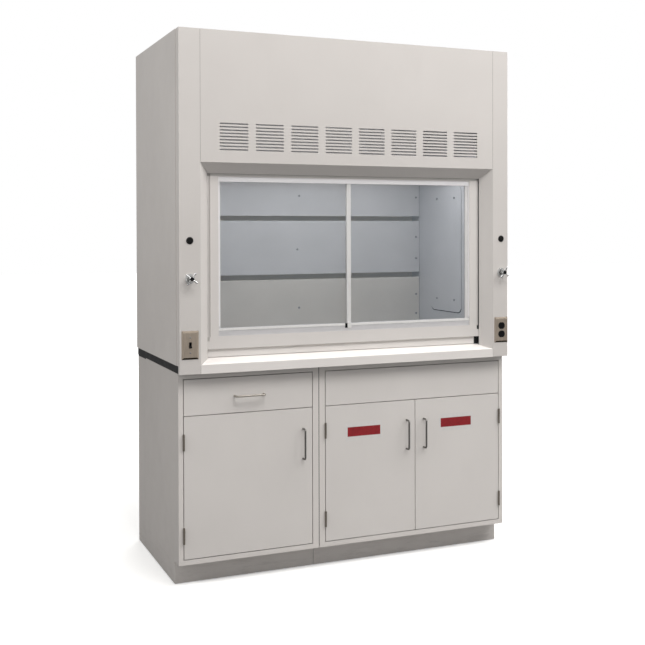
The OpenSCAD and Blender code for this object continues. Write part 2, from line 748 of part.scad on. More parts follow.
module pane_right_glass() color("LightCyan", 0.4) placed()
    pane_glass(meeting_x - meeting_half, pane_half, groove_front_y);

module pane_right_edges() color("LightGray") placed()
    pane_edges(meeting_x - meeting_half, pane_half, groove_front_y, pane_edge_w, free_edge_w + pane_slack);

// ---- services on the posts ----

plate_proud = 5;
plate_bevel = 8;
plate_skin = 1;

// Bevelled plate body, grown or shrunk on every side by inset.
module plate_form(inset) intersection() {
    h = plate_h / 2 - inset;
    w = plate_w / 2 - inset;
    front = -plate_proud + inset;
    drawn([[0.01 * inset, -h], [front, -h + plate_bevel], [front, h - plate_bevel], [0.01 * inset, h]],
        -plate_w, plate_w);
    translate([0, 0, -plate_h]) linear_extrude(2 * plate_h)
        polygon([[-w, 0.01 * inset], [-w + plate_bevel, front], [w - plate_bevel, front], [w, 0.01 * inset]]);
}

module plate_shell() difference() {
    plate_form(0);
    plate_form(plate_skin);
}

slot_half_w = 5.3;
slot_half_h = 12.3;
socket_r = 16.8;
socket_half_h = 14.8;
socket_offset = 18.8;

module socket_face(extra, y0, y1) intersection() {
    bar_y(socket_r + extra, y0, y1, 0, 0);
    block([-plate_w, y0, -socket_half_h - extra], [plate_w, y1, socket_half_h + extra]);
}

module service_plates() color("RosyBrown") placed() {
    translate([-service_left, 0, plate_z]) difference() {
        plate_shell();
        block([-slot_half_w, -plate_proud - 1, -slot_half_h], [slot_half_w, 0, slot_half_h]);
    }
    translate([service_right, 0, outlet_z]) difference() {
        plate_shell();
        for (dz = [-socket_offset, socket_offset]) translate([0, 0, dz]) socket_face(0, -plate_proud - 1, 0);
    }
}

device_half_w = 17;
device_half_h = 34;
device_depth = 30;
fit_gap = 0.3;

module blade_slots() {
    for (x = [-6.3, 6.3]) block([x - 1.2, -plate_proud - 2, -0.5], [x + 1.2, -1, 8.5]);
    bar_y(2.4, -plate_proud - 2, -1, 0, -7.5);
}

module wiring_devices() color("Black") placed() {
    translate([-service_left, 0, plate_z]) difference() {
        union() {
            block([-device_half_w, 0, -device_half_h], [device_half_w, device_depth, device_half_h]);
            block([-slot_half_w + fit_gap, -plate_proud - 1, -slot_half_h + fit_gap],
                  [slot_half_w - fit_gap, 0, slot_half_h - fit_gap]);
        }
        block([-4, -plate_proud - 2, -10.5], [4, toggle_pivot_y + 8, 10.5]);
    }
    translate([service_right, 0, outlet_z]) difference() {
        union() {
            block([-device_half_w, 0, -device_half_h], [device_half_w, device_depth, device_half_h]);
            for (dz = [-socket_offset, socket_offset])
                translate([0, 0, dz]) socket_face(-fit_gap, -plate_proud - 1, 0);
        }
        for (dz = [-socket_offset, socket_offset]) translate([0, 0, dz]) blade_slots();
    }
}

toggle_half_w = 3.4;
toggle_len = 23;

module light_toggle() color("Black") placed() translate([-service_left, toggle_pivot_y, toggle_z])
    rotate([toggle_tilt, 0, 0]) union() {
        bar_x(5, -toggle_half_w, toggle_half_w, 0, 0);
        drawn([[0, -3.4], [-toggle_len, -2.4], [-toggle_len, 2.4], [0, 3.4]], -toggle_half_w, toggle_half_w);
    }

module service_valves() color("Silver") placed() for (x = [-service_left, service_right])
    translate([x, 0, valve_z]) {
    bar_y(20, -2.5, 0, 0, 0);
    translate([0, -2.5, 0]) rotate([90, 0, 0]) linear_extrude(9) circle(11, $fn = 6);
    bar_y(7, -2.5, sheet + 2, 0, 0);
    bar_y(stem_r, -handle_reach + 6, 0, 0, 0);
    bar_y(15, sheet + 0.3, 46, 0, 0);
    bar_z(8, -52, 0, 0, 26);
    bar_y(8, 40, 74, 0, 0);
}

hub_r = 9;
hub_len = 14;
arm_turn = 36;
arm_setback = 8;
arm_r = 3.4;
arm_ball_r = 4.8;

module valve_handle(x) translate([x, 0, valve_z]) difference() {
    union() {
        bar_y(hub_r, -handle_reach, -handle_reach + hub_len, 0, 0);
        for (turn = [arm_turn : 90 : arm_turn + 270]) rotate([0, turn, 0]) {
            bar_z(arm_r, 0, handle_arm - arm_ball_r, 0, -handle_reach + arm_setback);
            translate([0, -handle_reach + arm_setback, handle_arm - arm_ball_r])
                sphere(arm_ball_r, $fn = 32);
        }
    }
    bar_y(stem_bore_r, -handle_reach + 5, 0, 0, 0);
}

module valve_handle_left() color("Gray") placed() valve_handle(-service_left);

module valve_handle_right() color("Gray") placed() valve_handle(service_right);

module hole_plugs() color("Black") placed() for (x = [-service_left, service_right])
    translate([x, 0, plug_z]) rotate([90, 0, 0]) rotate_extrude() polygon([[0, -8], [plug_r - 4, -8],
        [plug_r - 4, 0], [plug_r, 0],
        [plug_r, 1], [plug_r - 1.5, 2.4], [0, 3.2]]);

// ---- base cabinets ----

// Welded body of one cabinet between x0 and x1, with its face frame and toe kick.
module cabinet_body(x0, x1, stile0, stile1) {
    yf = cabinet_y;
    rail_top = drawer_high_z + reveal;
    for (x = [x0, x1 - wall]) drawn([[yf + wall, cabinet_floor_z], [yf + wall, bench_z],
        [cabinet_back_y, bench_z], [cabinet_back_y, foot_gap], [kick_y, foot_gap],
        [kick_y, cabinet_floor_z]], x, x + wall);
    block([x0, yf, cabinet_floor_z], [x0 + stile0, yf + wall, bench_z]);
    block([x1 - stile1, yf, cabinet_floor_z], [x1, yf + wall, bench_z]);
    block([x0 + stile0, yf, rail_top], [x1 - stile1, yf + wall, bench_z]);
    block([x0 + stile0, yf, cabinet_floor_z], [x1 - stile1, yf + wall, door_low_z - reveal]);
    block([x0 + stile0 - wall, yf + wall, cabinet_floor_z + wall],
        [x0 + stile0, yf + stile_return, bench_z - wall]);
    block([x1 - stile1, yf + wall, cabinet_floor_z + wall],
        [x1 - stile1 + wall, yf + stile_return, bench_z - wall]);
    block([x0 + wall, yf + wall, cabinet_floor_z],
        [x1 - wall, cabinet_back_y - wall, cabinet_floor_z + wall]);
    block([x0 + wall, cabinet_back_y - wall, cabinet_floor_z], [x1 - wall, cabinet_back_y, bench_z]);
    block([x0 + wall, yf + wall, bench_z - wall], [x1 - wall, yf + chamber_tail, bench_z]);
    block([x0 + wall, cabinet_back_y - chamber_tail, bench_z - wall],
        [x1 - wall, cabinet_back_y - wall, bench_z]);
    block([x0 + wall, kick_y, foot_gap], [x1 - wall, kick_y + wall, cabinet_floor_z]);
    block([x0 + wall, yf + front_t + 6, door_high_z - 15], [x1 - wall, yf + front_t + 6 + wall, door_high_z]);
}

module cabinet_left_body() color("Gainsboro") placed()
    cabinet_body(left_x0, left_x1, outer_stile_w, seam_stile_w);

module cabinet_right_body() color("Gainsboro") placed()
    cabinet_body(right_x0, right_x1, seam_stile_w, outer_stile_w);

filler_top_z = bench_z - 6;
filler_flange = 20;

module rear_fillers() color("Gainsboro") placed() pair() raised([
    [-cabinets_half_w, cabinet_back_y + joint_gap], [-cabinets_half_w + wall, cabinet_back_y + joint_gap],
    [-cabinets_half_w + wall, worktop_y[1] - wall], [-cabinets_half_w + filler_flange, worktop_y[1] - wall],
    [-cabinets_half_w + filler_flange, worktop_y[1]], [-cabinets_half_w, worktop_y[1]]],
    foot_gap, filler_top_z);

shelf_z = 400;
shelf_lip = 20;
shelf_front_y = 90;

module cabinet_left_shelf() color("Gainsboro") placed() difference() {
    block([left_x0 + wall + 1, shelf_front_y, shelf_z],
        [left_x1 - wall - 1, cabinet_back_y - wall - 1, shelf_z + shelf_lip]);
    block([left_x0 - 1, shelf_front_y + wall, shelf_z - 1],
        [left_x1 + 1, cabinet_back_y, shelf_z + shelf_lip - wall]);
}

tray_t = 5;
tray_h = 50;
tray_y = [64, 560];

module acid_tray() color("Ivory") placed() difference() {
    block([right_x0 + 6, tray_y[0], cabinet_floor_z + wall],
        [right_x1 - 6, tray_y[1], cabinet_floor_z + wall + tray_h]);
    block([right_x0 + 6 + tray_t, tray_y[0] + tray_t, cabinet_floor_z + wall + tray_t],
          [right_x1 - 6 - tray_t, tray_y[1] - tray_t, cabinet_floor_z + wall + tray_h + 1]);
}

module acid_fascia() color("Gainsboro") placed() {
    pan(right_open_x0 + reveal, right_open_x1 - reveal, cabinet_y, cabinet_y + front_t,
        door_high_z + reveal, drawer_high_z);
    block([right_open_x0, cabinet_y + 10, door_high_z + 40],
        [right_open_x0 + reveal, cabinet_y + front_t, door_high_z + 100]);
    block([right_open_x1 - reveal, cabinet_y + 10, door_high_z + 40],
        [right_open_x1, cabinet_y + front_t, door_high_z + 100]);
}

runner_y = [62, 560];
runner_reach = 12;
spacer_y = [80, 520];
spacer_len = 24;
drawer_x0 = left_open_x0 + box_side_gap;
drawer_x1 = left_open_x1 - box_side_gap;

// One fixed channel, its mouth towards +X, with two spacers on the cabinet side.
module fixed_runner(x_side, x_web) {
    drawn([[runner_y[0], runner_z0], [runner_y[1], runner_z0], [runner_y[1], runner_z1],
        [runner_y[0], runner_z1]],
        x_web, x_web + runner_wall);
    for (z = [runner_z0, runner_z1 - runner_wall])
        block([x_web + runner_wall, runner_y[0], z], [x_web + runner_reach, runner_y[1], z + runner_wall]);
    for (y = spacer_y) block([x_side, y, runner_z0 + 5], [x_web, y + spacer_len, runner_z1 - 5]);
}

module drawer_runners() color("Silver") placed() {
    fixed_runner(left_x0 + wall, left_open_x0);
    mirror([1, 0, 0]) fixed_runner(-left_x1 + wall, -left_open_x1);
}

// The drawer's own channel member on its left side.
module drawer_member(x_box) {
    z0 = runner_z0 + runner_wall + 0.4;
    z1 = runner_z1 - runner_wall - 0.4;
    x_tip = x_box - box_side_gap + runner_wall + 0.5;
    for (z = [z0, z1 - runner_wall]) block([x_tip, runner_y[0], z],
        [x_box - runner_wall, drawer_back_y, z + runner_wall]);
    block([x_box - runner_wall, runner_y[0], z0], [x_box, drawer_back_y, z1]);
}

module drawer_box() color("Gainsboro") placed() {
    difference() {
        block([drawer_x0, cabinet_y + front_t, drawer_z0], [drawer_x1, drawer_back_y, drawer_z1]);
        block([drawer_x0 + runner_wall, cabinet_y + front_t + runner_wall, drawer_z0 + runner_wall],
              [drawer_x1 - runner_wall, drawer_back_y - runner_wall, drawer_z1 + 1]);
    }
    drawer_member(drawer_x0);
    mirror([1, 0, 0]) drawer_member(-drawer_x1);
}

module drawer_front() color("Gainsboro") placed() pan(left_open_x0 + reveal, left_open_x1 - reveal,
    cabinet_y, cabinet_y + front_t, door_high_z + reveal, drawer_high_z);

module left_door() color("Gainsboro") placed() pan(left_open_x0 + reveal, left_open_x1 - reveal,
    cabinet_y, cabinet_y + front_t, door_low_z, door_high_z);

module acid_door_left() color("Gainsboro") placed() pan(right_open_x0 + reveal, split_x - reveal / 2,
    cabinet_y, cabinet_y + front_t, door_low_z, door_high_z);

module acid_door_right() color("Gainsboro") placed() pan(split_x + reveal / 2, right_open_x1 - reveal,
    cabinet_y, cabinet_y + front_t, door_low_z, door_high_z);

pull_bend_r = 10;

// A bent rod pull along Z, its feet on the plane y = 0 and its bar at the front.
module pull() {
    half = pull_len / 2 - pull_r;
    out = pull_out - pull_r;
    bar_z(pull_r, -half + pull_bend_r, half - pull_bend_r, 0, -out);
    for (side = [0, 1]) mirror([0, 0, side]) {
        bar_y(pull_r, -out + pull_bend_r, 0, 0, half);
        translate([0, -out + pull_bend_r, half - pull_bend_r]) rotate([0, -90, 0]) rotate([0, 0, -90])
            rotate_extrude(angle = 90, $fn = 64) translate([pull_bend_r, 0]) circle(pull_r, $fn = 32);
    }
}

drawer_pull_x = (left_open_x0 + left_open_x1) / 2 - 2;
drawer_pull_z = 758.5;

module drawer_pull() color("DarkGray") placed()
    translate([drawer_pull_x, cabinet_y, drawer_pull_z]) rotate([0, 90, 0]) pull();

module left_door_pull() color("DarkGray") placed()
    translate([left_open_x1 - reveal - pull_inset, cabinet_y, pull_mid_z]) pull();

module acid_door_left_pull() color("DarkGray") placed()
    translate([split_x - reveal / 2 - pull_inset, cabinet_y, pull_mid_z]) pull();

module acid_door_right_pull() color("DarkGray") placed()
    translate([split_x + reveal / 2 + pull_inset, cabinet_y, pull_mid_z]) pull();

// ---- hinges ----

knuckle_pitch = hinge_len / knuckles;

// Every second knuckle of one hinge, starting at first, with its leaf from leaf_x.
module hinge_half(first, leaf_x) {
    difference() {
        union() {
            for (i = [first : 2 : knuckles - 1]) {
                z0 = -hinge_len / 2 + i * knuckle_pitch + knuckle_gap / 2;
                z1 = z0 + knuckle_pitch - knuckle_gap;
                bar_z(knuckle_r, z0, z1, 0, 0);
                block([leaf_x, 0, z0], [leaf_x + leaf_t, cabinet_y - hinge_axis_y + 1, z1]);
            }
            block([leaf_x, cabinet_y - hinge_axis_y + 0.3, -hinge_len / 2 + knuckle_gap / 2],
                  [leaf_x + leaf_t, cabinet_y - hinge_axis_y + leaf_depth, hinge_len / 2 - knuckle_gap / 2]);
        }
        bar_z(hinge_bore_r, -hinge_len, hinge_len, 0, 0);
    }
}

module frame_half() {
    difference() {
        hinge_half(0, -reveal / 2);
        bar_z(hinge_bore_r, -hinge_len, hinge_len, 0, 0);
    }
    bar_z(hinge_pin_r, -hinge_len / 2 - 1, hinge_len / 2 + 1, 0, 0);
    for (z = [-hinge_len / 2 - 1, hinge_len / 2]) bar_z(knuckle_r - 0.5, z, z + 1, 0, 0);
}

module door_half() hinge_half(1, reveal / 2 - leaf_t);

hinge_heights = [hinge_low_z, hinge_high_z];
left_axis_x = left_open_x0 + reveal / 2;
acid_left_axis_x = right_open_x0 + reveal / 2;
acid_right_axis_x = right_open_x1 - reveal / 2;

module hinge_frame_halves() color("SlateGray") placed() for (z = hinge_heights) {
    translate([left_axis_x, hinge_axis_y, z]) frame_half();
    translate([acid_left_axis_x, hinge_axis_y, z]) frame_half();
    translate([acid_right_axis_x, hinge_axis_y, z]) mirror([1, 0, 0]) frame_half();
}

module left_door_leaves() color("SlateGray") placed() for (z = hinge_heights)
    translate([left_axis_x, hinge_axis_y, z]) door_half();

module acid_door_left_leaves() color("SlateGray") placed() for (z = hinge_heights)
    translate([acid_left_axis_x, hinge_axis_y, z]) door_half();

module acid_door_right_leaves() color("SlateGray") placed() for (z = hinge_heights)
    translate([acid_right_axis_x, hinge_axis_y, z]) mirror([1, 0, 0]) door_half();

foot_y = [140, 560];
foot_inset = 32;
foot_pad_h = 8;

module levelling_feet() color("DimGray") placed()
    for (x = [left_x0 + foot_inset, left_x1 - foot_inset, right_x0 + foot_inset, right_x1 - foot_inset])
        for (y = foot_y) {
            bar_z(18, 0, foot_pad_h, x, y);
            bar_z(5, foot_pad_h, cabinet_floor_z, x, y);
        }

// ---- assembly ----

outer_sides();
front_posts();
front_access_panel();
roof_liner();
side_liners();
rear_liner();
baffle_upper();
baffle_middle();
baffle_lower();
baffle_supports();
liner_fixings();
liner_hatches();
exhaust_collar();
light_housing();
light_tubes();
light_lens();
airfoil_sill();
worktop();
sash_tracks();
sash_bumpers();
superstructure_frame();
service_plates();
wiring_devices();
service_valves();
hole_plugs();
cabinet_left_body();
cabinet_right_body();
rear_fillers();
cabinet_left_shelf();
acid_tray();
acid_fascia();
drawer_runners();
hinge_frame_halves();
levelling_feet();
sash_cables();
light_toggle();
valve_handle_left();
valve_handle_right();
sash_frame();
sash_pane_rails();
sash_guides();
counterweight();
front_sheaves();
rear_sheaves();
pane_left_glass();
pane_left_edges();
pane_right_glass();
pane_right_edges();
drawer_box();
drawer_front();
drawer_pull();
left_door();
left_door_pull();
left_door_leaves();
acid_door_left();
acid_door_left_pull();
acid_door_left_leaves();
acid_door_right();
acid_door_right_pull();
acid_door_right_leaves();
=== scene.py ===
"""Looks of the bench fume hood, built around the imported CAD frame. Units are metres."""
import math

import bmesh
import bpy
from mathutils import Matrix, Vector


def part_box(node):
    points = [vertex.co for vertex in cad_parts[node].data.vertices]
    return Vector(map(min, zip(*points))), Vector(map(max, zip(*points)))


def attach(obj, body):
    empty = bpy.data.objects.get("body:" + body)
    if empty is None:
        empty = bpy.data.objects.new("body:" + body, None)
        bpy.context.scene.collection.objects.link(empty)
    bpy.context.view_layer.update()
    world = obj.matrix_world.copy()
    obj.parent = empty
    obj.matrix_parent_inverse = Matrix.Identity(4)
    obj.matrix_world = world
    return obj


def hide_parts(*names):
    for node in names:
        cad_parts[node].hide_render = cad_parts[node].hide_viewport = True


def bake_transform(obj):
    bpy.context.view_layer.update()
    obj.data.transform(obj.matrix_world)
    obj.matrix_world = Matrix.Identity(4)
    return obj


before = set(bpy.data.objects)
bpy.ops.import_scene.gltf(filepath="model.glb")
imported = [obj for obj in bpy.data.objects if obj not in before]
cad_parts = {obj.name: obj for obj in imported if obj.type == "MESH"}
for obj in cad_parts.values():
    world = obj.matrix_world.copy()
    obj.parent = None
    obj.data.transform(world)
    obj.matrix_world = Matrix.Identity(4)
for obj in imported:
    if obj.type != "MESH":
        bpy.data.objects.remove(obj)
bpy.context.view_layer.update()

# ---------------------------------------------------------------- shader helpers


def lin(r, g, b):
    """sRGB 0..255 to linear RGBA."""
    def one(c):
        c = c / 255
        return c / 12.92 if c <= 0.04045 else ((c + 0.055) / 1.055) ** 2.4
    return (one(r), one(g), one(b), 1.0)


def shade(c, k):
    """A colour made k times as bright."""
    return (c[0] * k, c[1] * k, c[2] * k, 1.0)


class Mat:
    """A Principled material with short calls for the nodes used here."""

    def __init__(self, name, color, rough=0.5, metal=0.0, **sockets):
        self.m = bpy.data.materials.new(name)
        self.m.use_nodes = True
        self.t = self.m.node_tree
        self.p = self.t.nodes["Principled BSDF"]
        self.set("Base Color", color)
        self.set("Roughness", rough)
        self.set("Metallic", metal)
        for socket, value in sockets.items():
            self.set(socket.replace("_", " "), value)
        self.spaces = self.node("TexCoord").outputs
        self.coord = self.spaces["Object"]

    def set(self, socket, value):
        self.p.inputs[socket].default_value = value

    def link(self, a, b):
        self.t.links.new(a, b)

    def feed(self, socket, value):
        """Sets a socket to a number or colour, or links another node's output to it."""
        if isinstance(value, (int, float, tuple)):
            socket.default_value = value
        else:
            self.link(value, socket)

    def node(self, kind, **values):
        """A new node, with its inputs set by name."""
        n = self.t.nodes.new("ShaderNode" + kind)
        for socket, value in values.items():
            n.inputs[socket.replace("_", " ")].default_value = value
        return n

    def noise(self, scale, detail=3.0, rough=0.55, stretch=None, distortion=0.0):
        n = self.node("TexNoise", Scale=scale, Detail=detail, Roughness=rough, Distortion=distortion)
        place = self.coord
        if stretch:
            mapping = self.node("Mapping", Scale=stretch)
            self.link(self.coord, mapping.inputs["Vector"])
            place = mapping.outputs["Vector"]
        self.link(place, n.inputs["Vector"])
        return n.outputs["Fac"]

    def cells(self, scale):
        n = self.node("TexVoronoi", Scale=scale)
        self.link(self.coord, n.inputs["Vector"])
        return n.outputs

    def ramp(self, fac, first, last, lo=0.3, hi=0.7):
        """Runs from one colour where the factor is lo to another where it is hi."""
        n = self.node("ValToRGB")
        stops = n.color_ramp.elements
        stops[0].position, stops[0].color = lo, first
        stops[1].position, stops[1].color = hi, last
        self.link(fac, n.inputs["Fac"])
        return n.outputs["Color"]

    def grey(self, fac, lo, hi, a=0.3, b=0.7):
        """Maps a factor between a and b to values between lo and hi."""
        n = self.node("MapRange", From_Min=a, From_Max=b, To_Min=lo, To_Max=hi)
        self.link(fac, n.inputs["Value"])
        return n.outputs["Result"]

    def rise(self, value, start, end):
        """0 up to start, 1 from end on."""
        return self.grey(value, 0.0, 1.0, start, end)

    def fall(self, value, start, end):
        """1 up to start, 0 from end on."""
        return self.grey(value, 1.0, 0.0, start, end)

    def mix(self, fac, a, b, blend="MIX"):
        n = self.node("Mix")
        n.data_type = "RGBA"
        n.blend_type = blend
        for i, value in ((0, fac), (6, a), (7, b)):
            self.feed(n.inputs[i], value)
        return n.outputs[2]

    def math(self, op, a, b=0.0):
        n = self.node("Math")
        n.operation = op
        self.feed(n.inputs[0], a)
        self.feed(n.inputs[1], b)
        return n.outputs[0]

    def axis(self, name, space="Object"):
        """X, Y or Z of the place ("Object"), of the face direction ("Normal"), or of the place in the
        piece's own box from 0 to 1 ("Generated")."""
        n = self.node("SeparateXYZ")
        self.link(self.spaces[space], n.inputs[0])
        return n.outputs[name]

    def right_half(self):
        """0 on the hood's left half and 1 on its right half."""
        return self.rise(self.axis("X"), -0.01, 0.01)

    def color(self, out):
        self.link(out, self.p.inputs["Base Color"])

    def metallic(self, out):
        self.link(out, self.p.inputs["Metallic"])

    def rough(self, out):
        self.link(out, self.p.inputs["Roughness"])

    def bump(self, height, strength, distance):
        n = self.node("Bump", Strength=strength, Distance=distance)
        self.link(height, n.inputs["Height"])
        self.link(n.outputs["Normal"], self.p.inputs["Normal"])


# ---------------------------------------------------------------- materials

SCUFF_HEIGHT = 0.16


def paint(name, col, wear=0.0, rough=0.42, painted_shadow_above=None, painted_front_light=None):
    """Powder coat: slow tonal drift, orange peel, handling marks, scuffs low down, a painted shadow
    above a height, and painted light that makes the faces looking to the front lighter."""
    m = Mat(name, col, rough, Specular_IOR_Level=0.45, Coat_Weight=0.12, Coat_Roughness=0.25)
    base = m.ramp(m.noise(1.7, 2.0), shade(col, 0.955), shade(col, 1.02))
    smudge = m.noise(7.0, 4.0, 0.6, stretch=(1.0, 1.0, 0.45))
    base = m.mix(m.grey(smudge, 0.0, 0.10, 0.52, 0.72), base, shade(col, 0.80))
    # Painted light: faces that look to the front are made lighter by a factor.
    if painted_front_light:
        lighter = m.mix(1.0, base, (painted_front_light, painted_front_light, painted_front_light, 1.0), "MULTIPLY")
        base = m.mix(m.fall(m.axis("Y", "Normal"), -0.9, -0.7), base, lighter)
    specks = m.noise(260.0, 1.0)
    base = m.mix(m.grey(specks, 0.0, 0.05, 0.62, 0.72), base, shade(col, 0.7))
    if wear:
        scuff = m.noise(26.0, 5.0, 0.7, stretch=(0.35, 0.35, 1.6))
        hit = m.math("MULTIPLY", m.fall(m.axis("Z"), 0.0, SCUFF_HEIGHT), m.rise(scuff, 0.5, 0.66))
        base = m.mix(m.math("MULTIPLY", hit, wear), base, lin(118, 112, 106))
    # Painted shadow: everything above a height is darkened.
    if painted_shadow_above:
        base = m.mix(m.rise(m.axis("Z"), painted_shadow_above, painted_shadow_above + 0.004), base, shade(col, 0.60))
    m.color(base)
    m.rough(m.grey(m.noise(11.0, 3.0), rough - 0.05, rough + 0.09))
    m.bump(m.noise(420.0, 2.0, 0.5), 0.10, 0.0004)
    return m.m


def liner(name, col):
    """Glass-fibre board: faint cloudy fibre bundles under a smooth gel coat, with wipe marks."""
    m = Mat(name, col, 0.34, Specular_IOR_Level=0.5)
    base = m.ramp(m.noise(4.5, 5.0, 0.6), shade(col, 0.93), shade(col, 1.03))
    fibre = m.noise(55.0, 3.0, 0.6, stretch=(0.25, 1.0, 1.0), distortion=0.6)
    m.color(m.mix(m.grey(fibre, 0.0, 0.10, 0.5, 0.7), base, shade(col, 0.82)))
    wipe = m.noise(9.0, 3.0, 0.6, stretch=(0.3, 0.3, 1.7), distortion=0.8)
    m.rough(m.grey(wipe, 0.28, 0.46))
    m.bump(m.noise(130.0, 2.0), 0.06, 0.0006)
    return m.m


def brushed(name, col, along="X", rough=0.34, metal=1.0, painted_light_above=None):
    """Metal with fine lines along one axis, tone drift and faint prints; a painted highlight above a
    height.
    """
    stretch = {"X": (0.02, 1.0, 1.0), "Y": (1.0, 0.02, 1.0), "Z": (1.0, 1.0, 0.02)}[along]
    m = Mat(name, col, rough, metal)
    lines = m.noise(900.0, 3.0, 0.7, stretch=stretch)
    tone = m.noise(14.0, 3.0)
    base = m.ramp(lines, shade(col, 0.86), shade(col, 1.06))
    base = m.mix(m.grey(tone, 0.0, 0.22, 0.45, 0.7), base, shade(col, 0.78))
    # Painted highlight: everything above a height is made paler.
    if painted_light_above:
        base = m.mix(m.rise(m.axis("Z"), painted_light_above, painted_light_above + 0.01), base, shade(col, 1.36))
    m.color(base)
    both = m.math("ADD", m.math("MULTIPLY", lines, 0.6), m.math("MULTIPLY", tone, 0.4))
    m.rough(m.grey(both, rough - 0.08, rough + 0.12))
    m.bump(lines, 0.12, 0.0002)
    return m.m


def plate_metal(name, col):
    """Vertically brushed warm steel, streaked, with a painted dull tone on the upper bevel in place of
    its highlight and painted shade on the lower one.
    """
    m = Mat(name, col, 0.5, 1.0)
    lines = m.noise(520.0, 4.0, 0.75, stretch=(1.0, 1.0, 0.03))
    broad = m.noise(70.0, 3.0, 0.6, stretch=(1.0, 1.0, 0.12))
    base = m.ramp(lines, shade(col, 0.80), shade(col, 1.08))
    base = m.mix(m.grey(broad, 0.0, 0.35, 0.4, 0.7), base, shade(col, 0.70))
    # Painted shade on faces that look down; a painted dull, barely metallic tone in place of a
    # highlight on faces that look up.
    looks_up = m.axis("Z", "Normal")
    under = m.fall(looks_up, -0.35, -0.15)
    upper = m.rise(looks_up, 0.15, 0.35)
    m.color(m.mix(upper, m.mix(under, base, lin(62, 55, 48)), lin(132, 119, 103)))
    m.metallic(m.grey(upper, 1.0, 0.1, 0.0, 1.0))
    m.rough(m.grey(broad, 0.42, 0.60))
    m.bump(lines, 0.12, 0.0002)
    return m.m


def shoe_nylon(name):
    """Guide shoes: pale nylon on the left track, black on the right one."""
    m = Mat(name, lin(20, 20, 21), 0.5, Specular_IOR_Level=0.4)
    tone = m.noise(90.0, 3.0)
    pale = m.ramp(tone, lin(176, 171, 166), lin(192, 187, 182))
    dark = m.ramp(tone, lin(14, 14, 15), lin(26, 26, 27))
    m.color(m.mix(m.right_half(), pale, dark))
    m.rough(m.grey(tone, 0.42, 0.62))
    m.bump(m.noise(500.0, 2.0), 0.12, 0.0003)
    return m.m


def track_metal(name):
    """Vertically brushed channels: the left one pale and barely metallic as painted light, the right
    one in the darker anodised tone.
    """
    m = Mat(name, lin(150, 150, 150), 0.42)
    lines = m.noise(900.0, 3.0, 0.7, stretch=(1.0, 1.0, 0.02))
    # Painted light: the left track is given a pale tone.
    left = m.ramp(lines, lin(206, 203, 200), lin(228, 225, 222))
    right = m.ramp(lines, lin(138, 138, 138), lin(158, 158, 158))
    side = m.right_half()
    m.color(m.mix(side, left, right))
    m.metallic(m.grey(side, 0.3, 1.0, 0.0, 1.0))
    m.rough(m.grey(m.noise(14.0, 3.0), 0.34, 0.54))
    m.bump(lines, 0.12, 0.0002)
    return m.m


def galvanised(name, col):
    """Zinc coat: crystal cells of different tone and gloss, with dull stains."""
    m = Mat(name, col, 0.45, 0.9)
    cells = m.cells(65.0)
    base = m.ramp(cells["Color"], shade(col, 0.80), shade(col, 1.12), 0.2, 0.8)
    m.color(m.mix(m.grey(m.noise(6.0, 4.0), 0.0, 0.35), base, shade(col, 0.72)))
    m.rough(m.grey(cells["Distance"], 0.36, 0.6, 0.0, 0.8))
    m.bump(m.noise(240.0, 2.0), 0.08, 0.0004)
    return m.m


def plastic(name, col, rough=0.38, grain=600.0, specular=0.5, drift=0.15, dust=2.2):
    """Moulded plastic: fine grain, slow drift of tone, and patches of dust or grime."""
    m = Mat(name, col, rough, Specular_IOR_Level=specular)
    base = m.ramp(m.noise(18.0, 3.0), shade(col, 1.0 - drift), shade(col, 1.0 + drift))
    m.color(m.mix(m.grey(m.noise(70.0, 4.0, 0.7), 0.0, 0.18, 0.56, 0.72), base, shade(col, dust)))
    m.rough(m.grey(m.noise(30.0, 3.0), rough - 0.06, rough + 0.12))
    m.bump(m.noise(grain, 2.0), 0.15, 0.0003)
    return m.m


def epoxy(name, col):
    """Cast resin top: fine grit under a cloudy haze of wiping."""
    m = Mat(name, col, 0.5, Specular_IOR_Level=0.28)
    grit = m.noise(520.0, 3.0, 0.7)
    base = m.ramp(grit, shade(col, 0.7), shade(col, 1.5), 0.35)
    haze = m.noise(8.0, 5.0, 0.65, distortion=0.5)
    m.color(m.mix(m.grey(haze, 0.0, 0.14, 0.5, 0.75), base, lin(78, 78, 80)))
    m.rough(m.grey(haze, 0.42, 0.62))
    m.bump(grit, 0.10, 0.0003)
    return m.m


def chrome(name, col):
    """Bright plating with finger prints in its gloss."""
    m = Mat(name, col, 0.09, 1.0)
    m.color(m.ramp(m.noise(40.0, 2.0), shade(col, 0.9), shade(col, 1.05)))
    m.rough(m.grey(m.noise(90.0, 4.0, 0.65), 0.05, 0.24, 0.4, 0.72))
    m.bump(m.noise(300.0, 2.0), 0.03, 0.0002)
    return m.m


def valve_metal(name, front_y):
    """By depth: chrome stem, black packing nut and chrome ring outside, cast brass behind the post."""
    m = Mat(name, lin(200, 200, 200), 0.2, 1.0)
    y = m.axis("Y")
    nut_y0, nut_y1 = front_y - NUT_FRONT, front_y - NUT_BACK
    behind = m.rise(y, front_y, front_y + 0.0004)
    nut = m.math("MULTIPLY", m.rise(y, nut_y0 - 0.0003, nut_y0), m.fall(y, nut_y1 - 0.0003, nut_y1))
    cast = m.noise(160.0, 4.0, 0.7)
    brass = m.ramp(cast, lin(150, 118, 62), lin(206, 170, 102))
    plated = m.ramp(m.noise(50.0, 2.0), lin(226, 226, 224), lin(246, 246, 244))
    black = m.ramp(m.noise(120.0, 3.0), lin(16, 16, 17), lin(30, 30, 31))
    m.color(m.mix(nut, m.mix(behind, plated, brass), black))
    shine = m.grey(behind, 0.3, 1.0, 0.0, 1.0)
    m.metallic(m.math("MULTIPLY", shine, m.math("SUBTRACT", 1.0, nut)))
    m.rough(m.math("ADD", m.grey(m.noise(80.0, 3.0), 0.08, 0.2),
                   m.math("MULTIPLY", m.math("ADD", behind, nut), 0.28)))
    m.bump(cast, 0.08, 0.0004)
    return m.m


